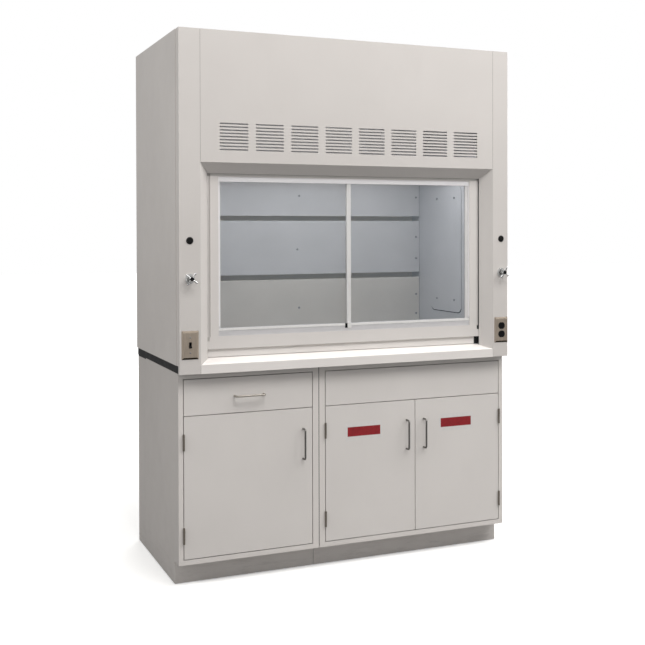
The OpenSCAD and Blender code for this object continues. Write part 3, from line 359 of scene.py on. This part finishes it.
def glass(name, tint, alpha, rough=0.03):
    """Clear sheet shown by its reflection and a light veil, with faint wipe marks."""
    m = Mat(name, tint, rough, Alpha=alpha, Specular_IOR_Level=0.5)
    wipe = m.noise(5.0, 4.0, 0.6, stretch=(1.0, 1.0, 2.2), distortion=1.2)
    m.color(m.ramp(wipe, shade(tint, 0.95), shade(tint, 1.05)))
    m.rough(m.grey(wipe, rough, rough + 0.09, 0.4, 0.75))
    m.bump(m.noise(3.0, 1.0), 0.01, 0.0005)
    m.m.surface_render_method = "BLENDED"
    return m.m


def tube_glass(name):
    """White phosphor tube, greyer towards its metal end caps, told apart by their place along X."""
    cap_x, grey_x = 0.585, 0.53
    white = lin(240, 240, 236)
    m = Mat(name, white, 0.25)
    from_mid = m.math("ABSOLUTE", m.axis("X"))
    end = m.rise(from_mid, cap_x - 0.0005, cap_x)
    body = m.mix(m.grey(from_mid, 0.0, 0.5, grey_x, cap_x), white, lin(150, 148, 146))
    body = m.mix(m.grey(m.noise(60.0, 3.0), 0.0, 0.08), body, lin(205, 205, 200))
    m.color(m.mix(end, body, lin(170, 170, 172)))
    m.metallic(end)
    m.rough(m.grey(m.noise(25.0, 2.0), 0.2, 0.34))
    return m.m


def rubber(name, col):
    """Matt rubber or sealant with a fine grit."""
    m = Mat(name, col, 0.75, Specular_IOR_Level=0.3)
    grit = m.noise(380.0, 3.0, 0.7)
    m.color(m.ramp(grit, shade(col, 0.7), shade(col, 1.7), 0.35))
    m.rough(m.grey(m.noise(30.0, 3.0), 0.65, 0.85))
    m.bump(grit, 0.25, 0.0004)
    return m.m


def strand(name, col):
    """Wire rope: fine helical ribs read as slanted bands."""
    m = Mat(name, col, 0.35, 1.0)
    wave = m.node("TexWave", Scale=260.0, Distortion=0.4)
    wave.bands_direction = "DIAGONAL"
    m.link(m.coord, wave.inputs["Vector"])
    ribs = wave.outputs["Fac"]
    m.color(m.ramp(ribs, shade(col, 0.45), shade(col, 1.1), 0.2))
    m.rough(m.grey(m.noise(120.0, 2.0), 0.3, 0.45))
    m.bump(ribs, 0.4, 0.0004)
    return m.m


def vinyl(name, back, ink):
    """Printed film: a plain ink band along the middle of a pale backing, both slightly mottled."""
    m = Mat(name, back, 0.38, Specular_IOR_Level=0.5)
    from_mid = m.math("ABSOLUTE", m.math("SUBTRACT", m.axis("Z", "Generated"), 0.5))
    off_mid = m.math("ABSOLUTE", m.math("SUBTRACT", m.axis("X", "Generated"), 0.5))
    band = m.math("MULTIPLY", m.fall(from_mid, 0.24, 0.26), m.fall(off_mid, 0.435, 0.44))
    tone = m.noise(60.0, 3.0)
    paper = m.ramp(tone, shade(back, 0.97), shade(back, 1.03))
    m.color(m.mix(band, paper, m.ramp(tone, shade(ink, 0.85), shade(ink, 1.15))))
    m.rough(m.grey(m.noise(24.0, 3.0), 0.3, 0.46))
    m.bump(m.noise(500.0, 2.0), 0.06, 0.0002)
    return m.m


# How far the packing nut's ends stand in front of the posts.
NUT_FRONT, NUT_BACK = 0.0115, 0.0025
# The band of painted shadow along the top of the sash frame, and how high the painted highlight on the
# upper rail begins.
TOP_SHADOW_BAND, LOW_RAIL_H = 0.0085, 0.042

PANEL_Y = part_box("front_posts")[0].y
RAILS_LO, RAILS_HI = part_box("sash_pane_rails")

PAINT = paint("powder_coat", lin(208, 203, 199), wear=0.18)
# The cabinet paint carries painted light on its front-facing faces.
CABINET = paint("powder_coat_cabinet", lin(198, 193, 189), wear=0.18, painted_front_light=1.27)
FRONT_PAINT = paint("powder_coat_fronts", lin(218, 213, 209))
# The sash paint carries a painted shadow along the top of the frame.
SASH_PAINT = paint("powder_coat_sash", lin(218, 213, 209), rough=0.36,
                   painted_shadow_above=RAILS_HI.z - TOP_SHADOW_BAND)
SILL_PAINT = paint("sill_coat", lin(232, 227, 223), rough=0.34)
LINER = liner("liner_board", lin(206, 206, 208))
BAFFLE = liner("baffle_board", lin(206, 205, 206))
LOW_BAFFLE = liner("baffle_low_board", lin(219, 213, 204))
SIDE_BOARD = liner("side_board", lin(197, 197, 200))
REAR_BOARD = liner("rear_board", lin(240, 229, 206))
GALV = galvanised("galvanised_steel", lin(172, 174, 176))
FOOT = galvanised("zinc_foot", lin(150, 150, 150))
COLLAR = brushed("collar_steel", lin(180, 180, 180), "Z")
LAMP = paint("lamp_enamel", lin(186, 185, 182), rough=0.3)
TUBE = tube_glass("lamp_tube")
LENS = glass("lamp_lens", lin(214, 224, 226), 0.45, 0.12)
GLAZING = glass("sash_glass", lin(190, 202, 214), 0.09)
EPOXY = epoxy("black_epoxy", lin(27, 27, 29))
# The pane rails carry a painted highlight on the upper rail.
ALU_X = brushed("anodised_rail", lin(219, 217, 218), "X", 0.42, 0.35,
                painted_light_above=RAILS_LO.z + LOW_RAIL_H)
ALU_Z = brushed("anodised_edge", lin(236, 234, 232), "Z", 0.38, 0.3)
TRACK = track_metal("anodised_track")
SHOE = shoe_nylon("guide_shoe")
RUBBER = rubber("black_rubber", lin(22, 22, 23))
SEALANT = rubber("grey_sealant", lin(118, 114, 110))
BLACK = plastic("black_thermoset", lin(10, 10, 11), 0.46, specular=0.22)
NYLON = plastic("white_nylon", lin(214, 213, 208), 0.45, 420.0, drift=0.04, dust=0.8)
TRAY = plastic("polypropylene", lin(214, 212, 204), 0.42, 300.0, drift=0.035, dust=0.82)
PLATE = plate_metal("plate_steel", lin(199, 185, 170))
CHROME = chrome("valve_chrome", lin(206, 206, 206))
VALVE = valve_metal("valve_metal", PANEL_Y + 0.0001)
RUNNER = brushed("zinc_runner", lin(176, 177, 178), "Y", 0.4)
HINGE = brushed("dark_hinge", lin(142, 135, 126), "Z", 0.42)
# The door pulls and the drawer pull are one steel in two tones: the door pulls' darker one is painted
# shade, the drawer pull's paler one painted light.
PULL_Z = brushed("brushed_pull", lin(126, 124, 121), "Z", 0.3)
PULL_X = brushed("brushed_pull_flat", lin(176, 170, 161), "X", 0.36)
SCREW = brushed("screw_steel", lin(150, 150, 152), "X", 0.36)
CABLE = strand("stranded_cable", lin(150, 150, 150))
WEIGHT = paint("weight_primer", lin(70, 73, 76), rough=0.55)
VINYL = vinyl("label_vinyl", lin(214, 210, 207), lin(140, 22, 30))

LOOKS = {
    "outer_sides": PAINT, "front_posts": PAINT, "front_access_panel": PAINT,
    "superstructure_frame": GALV, "exhaust_collar": COLLAR,
    "light_housing": LAMP, "light_tubes": TUBE, "light_lens": LENS,
    "roof_liner": LINER, "side_liners": SIDE_BOARD, "rear_liner": REAR_BOARD,
    "liner_hatches": SIDE_BOARD, "liner_fixings": SCREW,
    "baffle_upper": BAFFLE, "baffle_middle": BAFFLE, "baffle_lower": LOW_BAFFLE,
    "baffle_supports": GALV, "airfoil_sill": SILL_PAINT, "worktop": EPOXY,
    "sash_tracks": TRACK, "sash_bumpers": RUBBER, "sash_frame": SASH_PAINT,
    "sash_pane_rails": ALU_X, "sash_guides": SHOE,
    "pane_left_glass": GLAZING, "pane_left_edges": ALU_Z,
    "pane_right_glass": GLAZING, "pane_right_edges": ALU_Z,
    "counterweight": WEIGHT, "front_sheaves": NYLON, "rear_sheaves": NYLON, "sash_cables": CABLE,
    "service_plates": PLATE, "wiring_devices": BLACK, "light_toggle": BLACK,
    "service_valves": VALVE, "valve_handle_left": CHROME, "valve_handle_right": CHROME,
    "hole_plugs": BLACK,
    "cabinet_left_body": CABINET, "cabinet_right_body": CABINET, "rear_fillers": CABINET,
    "cabinet_left_shelf": FRONT_PAINT, "acid_tray": TRAY, "acid_fascia": FRONT_PAINT,
    "drawer_runners": RUNNER, "drawer_box": FRONT_PAINT, "drawer_front": FRONT_PAINT,
    "drawer_pull": PULL_X,
    "left_door": FRONT_PAINT, "left_door_pull": PULL_Z, "left_door_leaves": HINGE,
    "acid_door_left": FRONT_PAINT, "acid_door_left_pull": PULL_Z, "acid_door_left_leaves": HINGE,
    "acid_door_right": FRONT_PAINT, "acid_door_right_pull": PULL_Z,
    "acid_door_right_leaves": HINGE,
    "hinge_frame_halves": HINGE, "levelling_feet": FOOT,
}
for name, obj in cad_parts.items():
    if not obj.material_slots:
        obj.data.materials.append(LOOKS[name])
    for s in obj.material_slots:
        s.material = LOOKS[name]

# ---------------------------------------------------------------- mesh helpers


def in_scene(obj):
    bpy.context.scene.collection.objects.link(obj)
    return obj


def mesh_object(name, bm, material):
    """Turns a bmesh into an object in the scene."""
    mesh = bpy.data.meshes.new(name)
    bm.to_mesh(mesh)
    bm.free()
    mesh.materials.append(material)
    return in_scene(bpy.data.objects.new(name, mesh))


def new_piece(name, bm, material, body, replaces=()):
    """A finished piece of the object, riding on a body."""
    bmesh.ops.recalc_face_normals(bm, faces=bm.faces)
    obj = mesh_object(name, bm, material)
    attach(obj, body)
    if replaces:
        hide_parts(*replaces)
    return obj


def smooth(obj, angle=35):
    """Rounds the shading, with creases sharper than the angle kept."""
    mesh = obj.data
    mesh.polygons.foreach_set("use_smooth", [True] * len(mesh.polygons))
    mesh.set_sharp_from_angle(angle=math.radians(angle))


def skin(bm, rings, ends=True):
    """Joins rings of vertices one after the other, and closes the first and the last."""
    for a, b in zip(rings, rings[1:]):
        for i in range(len(a)):
            bm.faces.new((a[i - 1], a[i], b[i], b[i - 1]))
    if ends:
        bm.faces.new(rings[0])
        bm.faces.new(rings[-1])


def lathe(bm, profile, matrix, steps=40):
    """Turns (radius, height) points about Z, closes the ends, and places the result by matrix."""
    turns = [2 * math.pi * i / steps for i in range(steps)]
    rings = []
    for r, h in profile:
        around = turns if r > 1e-6 else [0.0]
        rings.append([bm.verts.new(matrix @ Vector((r * math.cos(a), r * math.sin(a), h)))
                      for a in around])
    for a, b in zip(rings, rings[1:]):
        for i in range(steps):
            j = (i + 1) % steps
            quad = [a[i % len(a)], a[j % len(a)], b[j % len(b)], b[i % len(b)]]
            unique = list(dict.fromkeys(quad))
            if len(unique) > 2:
                bm.faces.new(unique)
    for ring in (rings[0], rings[-1]):
        if len(ring) > 2:
            bm.faces.new(ring)


def rod(bm, p0, p1, r, steps):
    """A straight closed bar with vertices at its two ends only."""
    p0, p1 = Vector(p0), Vector(p1)
    turn = (p1 - p0).to_track_quat("Z", "Y").to_matrix().to_4x4()
    lathe(bm, [(r, 0), (r, (p1 - p0).length)], Matrix.Translation(p0) @ turn, steps)


def rounded(w, h, r, steps=6):
    """Outline of a rounded rectangle about the origin."""
    pts = []
    for sx, sy, start in ((1, 1, 0), (-1, 1, 90), (-1, -1, 180), (1, -1, 270)):
        for k in range(steps + 1):
            a = math.radians(start + 90 * k / steps)
            pts.append((sx * (w / 2 - r) + r * math.cos(a), sy * (h / 2 - r) + r * math.sin(a)))
    return pts


def prism(bm, outline, place, levels):
    """Stacks an outline at several (depth, scale) levels and closes both ends."""
    skin(bm, [[bm.verts.new(place(u * s, v * s, d)) for u, v in outline] for d, s in levels])


def extrude_x(bm, profile, x0, x1):
    """A closed bar with a (y, z) profile between two x values."""
    skin(bm, [[bm.verts.new((x, y, z)) for y, z in profile] for x in (x0, x1)])


# ---------------------------------------------------------------- camera, light, stage

CAM_POS = (-1.7947, -4.2586, 1.4285)
CAM_YAW, CAM_PITCH, CAM_ROLL = (math.radians(a) for a in (-23.006, -0.587, 0.144))
CAM_LENS, CAM_SENSOR = 56.67, 36.0
CAM_SHIFT_X, CAM_SHIFT_Y = -0.0031, -0.126
CAM_SEES = 100.0
LOOK_AHEAD = math.radians(90)

cam = in_scene(bpy.data.objects.new("camera", bpy.data.cameras.new("camera")))
aim = (Matrix.Rotation(CAM_YAW, 4, "Z") @ Matrix.Rotation(CAM_PITCH, 4, "X")
       @ Matrix.Rotation(CAM_ROLL, 4, "Y") @ Matrix.Rotation(LOOK_AHEAD, 4, "X"))
cam.matrix_world = Matrix.Translation(CAM_POS) @ aim
cam.data.sensor_width = CAM_SENSOR
cam.data.lens = CAM_LENS
cam.data.shift_x = CAM_SHIFT_X
cam.data.shift_y = CAM_SHIFT_Y
cam.data.clip_end = CAM_SEES
bpy.context.scene.camera = cam
bpy.context.scene.view_settings.view_transform = "Standard"

# The room lights the hood softly from all round, and is seen as plain white.
AMBIENT_COLOR, AMBIENT = (1.0, 0.995, 0.985, 1.0), 0.42
WHITE = (1.0, 1.0, 1.0, 1.0)

world = bpy.data.worlds.new("studio")
world.use_nodes = True
wt = world.node_tree
ambient = wt.nodes["Background"]
ambient.inputs["Color"].default_value = AMBIENT_COLOR
ambient.inputs["Strength"].default_value = AMBIENT
white = wt.nodes.new("ShaderNodeBackground")
white.inputs["Color"].default_value = WHITE
path = wt.nodes.new("ShaderNodeLightPath")
pick = wt.nodes.new("ShaderNodeMixShader")
wt.links.new(path.outputs["Is Camera Ray"], pick.inputs[0])
wt.links.new(ambient.outputs[0], pick.inputs[1])
wt.links.new(white.outputs[0], pick.inputs[2])
wt.links.new(pick.outputs[0], wt.nodes["World Output"].inputs["Surface"])
bpy.context.scene.world = world

STUDIO = Vector((0.0, -0.3, 1.3))
LIGHT_DISTANCE, LIGHT_SIZE = 5.5, (2.5, 2.0)
WARM, COOL = (1.0, 0.992, 0.982), (0.965, 0.985, 1.0)


def area(name, pos, target, size, power, color):
    """A rectangular light that looks at a target."""
    data = bpy.data.lights.new(name, "AREA")
    data.shape = "RECTANGLE"
    data.size, data.size_y = size
    data.energy = power
    data.color = color
    obj = in_scene(bpy.data.objects.new(name, data))
    obj.location = pos
    obj.rotation_euler = (Vector(target) - Vector(pos)).to_track_quat("-Z", "Y").to_euler()
    return obj


def studio_light(name, around, up, power):
    """A soft light placed by its angles round and above the middle of the scene."""
    a, e = math.radians(around), math.radians(up)
    away = Vector((math.sin(a) * math.cos(e), -math.cos(a) * math.cos(e), math.sin(e)))
    area(name, STUDIO + LIGHT_DISTANCE * away, STUDIO, LIGHT_SIZE, power, WARM)


studio_light("key_front", 0, 55, 156.0)
studio_light("key_right", 60, 50, 126.0)
studio_light("low_right", 60, 30, 60.0)
studio_light("left_side", -80, 25, 84.0)
studio_light("rear", 165, 35, 90.0)

# The hood's own lamp and its bounce inside the chamber, as one cool soft light behind the sash.
LAMP_Y, LAMP_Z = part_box("sash_frame")[1].y + 0.11, 1.78
LAMP_SIZE, LAMP_POWER = (1.10, 0.20), 3.6
lamp = area("chamber_light", (0.0, LAMP_Y, LAMP_Z), (0.0, LAMP_Y, 1.0), LAMP_SIZE, LAMP_POWER, COOL)
lamp.visible_camera = False

# The floor is seen near white and fades to the background, but bounces little light on the hood.
FLOOR_HALF, FLOOR_BOUNCE = 30.0, (0.33, 0.33, 0.33, 1.0)
GLOW_NEAR, GLOW_FAR, GLOW_STARTS, GLOW_FULL = 0.30, 1.0, 1.0, 4.5

fm = Mat("pale_floor", lin(246, 246, 245), 0.8, Emission_Color=WHITE)
fm.color(fm.ramp(fm.noise(1.2, 2.0), lin(244, 244, 243), lin(249, 249, 248)))
reach = fm.node("VectorMath")
reach.operation = "LENGTH"
fm.link(fm.coord, reach.inputs[0])
fm.link(fm.grey(reach.outputs["Value"], GLOW_NEAR, GLOW_FAR, GLOW_STARTS, GLOW_FULL),
        fm.p.inputs["Emission Strength"])
dim = fm.node("BsdfDiffuse", Color=FLOOR_BOUNCE)
floor_mix = fm.node("MixShader")
fm.link(fm.node("LightPath").outputs["Is Camera Ray"], floor_mix.inputs[0])
fm.link(dim.outputs[0], floor_mix.inputs[1])
fm.link(fm.p.outputs[0], floor_mix.inputs[2])
fm.link(floor_mix.outputs[0], fm.t.nodes["Material Output"].inputs["Surface"])
bm = bmesh.new()
bmesh.ops.create_grid(bm, x_segments=24, y_segments=24, size=FLOOR_HALF)
mesh_object("floor", bm, fm.m)

# ---------------------------------------------------------------- sash cables
# Three straight runs and two turns on each side.

CABLE_R, CABLE_SIDES, TURN_STEPS, END_GAP = 0.0015, 12, 14, 0.0003


def middle(lo, hi):
    return (lo + hi) / 2


lo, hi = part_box("sash_cables")
FRONT_AXLE, REAR_AXLE = middle(*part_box("front_sheaves")), middle(*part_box("rear_sheaves"))
AXLE_Z = FRONT_AXLE.z
RUN_R = hi.z - CABLE_R - AXLE_Z
FRONT_Y, REAR_Y = FRONT_AXLE.y - RUN_R, REAR_AXLE.y + RUN_R
SHOE_TOP, WEIGHT_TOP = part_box("sash_guides")[1].z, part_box("counterweight")[1].z
QUARTER = [math.pi / 2 * i / TURN_STEPS for i in range(TURN_STEPS + 1)]
ROUND = [2 * math.pi * k / CABLE_SIDES for k in range(CABLE_SIDES)]
ACROSS = Vector((1, 0, 0))
for side, tag in ((-1, "left"), (1, "right")):
    x = side * (hi.x - CABLE_R)
    for part, y, top, body in (("front", FRONT_Y, SHOE_TOP, "sash"),
                               ("rear", REAR_Y, WEIGHT_TOP, "weight")):
        start, end = (x, y, AXLE_Z), (x, y, top + END_GAP)
        bm = bmesh.new()
        rod(bm, start, end, CABLE_R, CABLE_SIDES)
        run = mesh_object(f"cable_{part}_{tag}", bm, CABLE)
        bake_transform(run)
        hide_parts("sash_cables")
    route = [Vector((x, FRONT_AXLE.y - RUN_R * math.cos(a), AXLE_Z + RUN_R * math.sin(a)))
             for a in QUARTER]
    route += [Vector((x, REAR_AXLE.y + RUN_R * math.sin(a), AXLE_Z + RUN_R * math.cos(a)))
              for a in QUARTER]
    bm = bmesh.new()
    rings = []
    for i, p in enumerate(route):
        along = (route[min(i + 1, len(route) - 1)] - route[max(i - 1, 0)]).normalized()
        up = ACROSS.cross(along)
        rings.append([bm.verts.new(p + CABLE_R * (math.cos(a) * ACROSS + math.sin(a) * up))
                      for a in ROUND])
    skin(bm, rings)
    smooth(new_piece(f"cable_over_{tag}", bm, CABLE, "root", ["sash_cables"]))

# ---------------------------------------------------------------- valve handles
# Chrome: a waisted hub, four arms that flare to rounded ends, and a black index button in front.

HUB_R, BUTTON_R = 0.0078, 0.0082
ARM_TURN, ARM_BACK = 36.0, 0.008
ARM = [(0.0032, 0.0045), (0.0030, 0.0090), (0.0031, 0.0140), (0.0035, 0.0195), (0.0040, 0.0240),
       (0.0042, 0.0262), (0.0040, 0.0280), (0.0030, 0.0292), (0.0016, 0.0297), (0.0, 0.0298)]
BUTTON = [(0.0, 0.0002), (0.0012, 0.0002), (0.0016, 0.0005), (0.0030, 0.0005), (0.0034, 0.0001),
          (BUTTON_R - 0.0010, 0.0001), (BUTTON_R, 0.0009), (BUTTON_R, 0.0022), (0.0, 0.0022)]
for side in ("left", "right"):
    lo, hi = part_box(f"valve_handle_{side}")
    mid, deep = middle(lo, hi), hi.y - lo.y
    hub = [(0.0, 0.0020), (HUB_R + 0.0004, 0.0020), (HUB_R + 0.0008, 0.0025),
           (HUB_R + 0.0008, 0.0042), (HUB_R - 0.0006, 0.0050), (HUB_R - 0.0010, deep - 0.0030),
           (HUB_R - 0.0004, deep - 0.0022), (HUB_R - 0.0004, deep - 0.0004),
           (0.0042, deep - 0.0001)]
    face = Matrix.Translation((mid.x, lo.y, mid.z)) @ Matrix.Rotation(math.radians(-90), 4, "X")
    centre = Matrix.Translation((mid.x, lo.y + ARM_BACK, mid.z))
    bm = bmesh.new()
    lathe(bm, hub, face)
    for i in range(4):
        lathe(bm, ARM, centre @ Matrix.Rotation(math.radians(ARM_TURN + 90 * i), 4, "Y"), 20)
    rides, stands_for = f"valve_{side}", [f"valve_handle_{side}"]
    smooth(new_piece(f"handle_{side}", bm, CHROME, rides, stands_for))
    bm = bmesh.new()
    lathe(bm, BUTTON, face)
    smooth(new_piece(f"handle_button_{side}", bm, BLACK, rides, stands_for))

# ---------------------------------------------------------------- plate screws
# Oval heads with a straight slot: two on the switch plate, one between the outlet's sockets.

SCREW_R, SCREW_H, SLOT_W, SLOT_D = 0.0032, 0.0010, 0.0005, 0.0005
PLATE_W, PLATE_MID, SCREW_UP = 0.070, 0.057, 0.0302


def oval_screw(bm, x, y, z, turn, steps=28):
    """A slotted oval head standing on a face that looks toward -Y, its slot turned by some degrees."""
    m = Matrix.Translation((x, y, z)) @ Matrix.Rotation(math.radians(90), 4, "X")
    head = m @ Matrix.Rotation(math.radians(turn), 4, "Z")
    first = math.asin(SLOT_W / SCREW_R)
    arc = [first + (math.pi - 2 * first) * k / steps for k in range(steps + 1)]
    for half in (-1, 1):
        outer = [(SCREW_R * math.cos(a), half * SCREW_R * math.sin(a)) for a in arc]
        inner = [(0.72 * u, half * max(half * 0.72 * v, SLOT_W)) for u, v in outer]
        skin(bm, [[bm.verts.new(head @ Vector((u, v, h))) for u, v in row]
                  for row, h in ((outer, 0.0), (outer, 0.45 * SCREW_H), (inner, SCREW_H))])
    rim = SCREW_R - 0.0001
    lathe(bm, [(rim, 0.0), (rim, SCREW_H - SLOT_D)], m, 32)


PLATE_LO, PLATE_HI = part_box("service_plates")
SWITCH_X, SWITCH_Z = middle(*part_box("light_toggle")).x, PLATE_LO.z + PLATE_MID
OUTLET_X, OUTLET_Z = PLATE_HI.x - PLATE_W / 2, PLATE_HI.z - PLATE_MID
bm = bmesh.new()
oval_screw(bm, SWITCH_X, PLATE_LO.y, SWITCH_Z + SCREW_UP, turn=8)
oval_screw(bm, SWITCH_X, PLATE_LO.y, SWITCH_Z - SCREW_UP, turn=-14)
oval_screw(bm, OUTLET_X, PLATE_LO.y, OUTLET_Z, turn=5)
new_piece("plate_screws", bm, SCREW, "root")

# ---------------------------------------------------------------- door labels
# Stuck on a little askew; the film's edge is rounded over.

LABEL_W, LABEL_H, LABEL_CORNER = 0.176, 0.078, 0.004
LABEL_LEVELS = [(0.00005, 1.0), (-0.00018, 1.0), (-0.00024, 0.998)]
for side, across, down, tilt in (("left", 0.179, 0.117, 0.8), ("right", 0.204, 0.111, -0.6)):
    lo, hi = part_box(f"acid_door_{side}")
    stuck = (Matrix.Translation((lo.x + across, lo.y, hi.z - down))
             @ Matrix.Rotation(math.radians(-tilt), 4, "Y"))
    bm = bmesh.new()
    prism(bm, rounded(LABEL_W, LABEL_H, LABEL_CORNER),
          lambda u, v, d: stuck @ Vector((u, d, v)), LABEL_LEVELS)
    new_piece(f"label_{side}", bm, VINYL, f"door_acid_{side}")

# ---------------------------------------------------------------- hatch gaskets and painted shadow
# The gasket lies behind the hatch; the wide black bead along its lower edge is painted shadow under
# the hatch.

HATCH_T, CORNER = 0.003, 0.030
SIDE_BEAD, TOP_BEAD, LOW_SHADOW_BEAD = 0.0007, 0.0004, 0.0042
lo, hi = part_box("liner_hatches")
wide, high = hi.y - lo.y, hi.z - lo.z
centre = Vector((middle(lo, hi).y, middle(lo, hi).z))
drop = Vector((0, (TOP_BEAD - LOW_SHADOW_BEAD) / 2))
inner = [centre + Vector(p) for p in rounded(wide, high, CORNER)]
outer = [centre + drop + Vector(p)
         for p in rounded(wide + 2 * SIDE_BEAD, high + TOP_BEAD + LOW_SHADOW_BEAD, CORNER)]
depth = [HATCH_T - 0.0004 if q.y < lo.z + 0.7 * CORNER else 0.0006 for q in inner]
for side, tag in ((-1, "left"), (1, "right")):
    bm = bmesh.new()
    rings = [[bm.verts.new((side * (hi.x - (d if front else 0.0001)), q.x, q.y))
              for q, d in zip(points, depth)]
             for points, front in ((inner, False), (outer, False), (outer, True), (inner, True))]
    skin(bm, rings + rings[:1], ends=False)
    new_piece(f"hatch_gasket_and_shadow_{tag}", bm, RUBBER, "root")

# ---------------------------------------------------------------- sash hardware
# A sloping lip along the lower pane rail, the hook at the foot of the meeting stile, and a small black
# block beside it. Their profiles are (y, z) from the rail's front face and top edge.

RAIL_Y, RAIL_TOP = RAILS_LO.y, RAILS_LO.z + 0.040
LIP_HALF = RAILS_HI.x - 0.0085
STILE_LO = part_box("pane_right_edges")[0]
STILE_W, STILE_BACK = 0.018, STILE_LO.y + 0.0003 - RAIL_Y
DROP, OUT, IN = 0.020, 0.0013, 0.00005
LIP = [(IN, -0.0105), (-0.0011, -0.0100), (-0.0011, -0.0088), (-0.0002, -0.0001), (IN, -0.0001)]
HOOK = [(-OUT, -DROP), (-OUT - 0.0012, -DROP + 0.0004), (-OUT - 0.0012, 0.0030),
        (-OUT - 0.0006, 0.0036), (STILE_BACK, 0.0036), (STILE_BACK, 0.0004), (-OUT, 0.0004)]
BLACK_BLOCK = [(IN, -DROP), (-0.0009, -DROP), (-0.00115, -DROP + 0.0004), (-0.00115, -0.0005),
        (-0.0009, -0.0001), (IN, -0.0001)]
for name, profile, x0, x1, material, body, slot in (
        ("rail_lip", LIP, -LIP_HALF, LIP_HALF, ALU_Z, "sash", "aluminium"),
        ("stile_hook", HOOK, STILE_LO.x, STILE_LO.x + STILE_W, ALU_Z, "pane_right", "aluminium"),
        ("rail_black_block", BLACK_BLOCK, STILE_LO.x - 0.011, STILE_LO.x - 0.0001, BLACK, "sash",
         "black_plastic")):
    bm = bmesh.new()
    extrude_x(bm, [(RAIL_Y + y, RAIL_TOP + z) for y, z in profile], x0, x1)
    new_piece(name, bm, material, body)

# ---------------------------------------------------------------- joint strips
# A dark T-shaped strip between the two base cabinets, standing in for the shade in the seam, and grey
# beads beside the panel above the sash.


def joint_strip(bm, x, y, z0, z1, half_face, half_web, proud, deep):
    """An upright strip: a thin face lying on two panels and a web reaching into the gap between."""
    outline = [(-half_face, -0.6 * proud), (-0.8 * half_face, -proud), (0.8 * half_face, -proud),
               (half_face, -0.6 * proud), (half_face, 0.0001), (half_web, 0.0001),
               (half_web, deep), (-half_web, deep), (-half_web, 0.0001), (-half_face, 0.0001)]
    prism(bm, outline, lambda u, v, d: (x + u, y + v, d), [(z0, 1.0), (z1, 1.0)])


STRIP_BELOW_DOOR, STRIP_BELOW_TOP = 0.014, 0.002
PANEL_LIP, BEAD_BELOW_TOP = 0.046, 0.003

CAB_LO, CAB_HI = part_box("cabinet_left_body")
RIGHT_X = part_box("cabinet_right_body")[0].x
# A black strip put in the seam between the cabinets as painted shade.
bm = bmesh.new()
joint_strip(bm, (CAB_HI.x + RIGHT_X) / 2, CAB_LO.y,
            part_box("left_door")[0].z - STRIP_BELOW_DOOR, CAB_HI.z - STRIP_BELOW_TOP,
            half_face=0.00125, half_web=(RIGHT_X - CAB_HI.x) / 2 - 0.0001, proud=0.0004, deep=0.006)
new_piece("cabinet_seam_shadow_strip", bm, RUBBER, "root")

ACCESS_LO, ACCESS_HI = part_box("front_access_panel")
bm = bmesh.new()
for x in (ACCESS_LO.x, ACCESS_HI.x):
    joint_strip(bm, x, PANEL_Y, ACCESS_LO.z + PANEL_LIP, ACCESS_HI.z - BEAD_BELOW_TOP,
                half_face=0.00055, half_web=0.00015, proud=0.0002, deep=0.0006)
new_piece("panel_joint_beads", bm, SEALANT, "root")
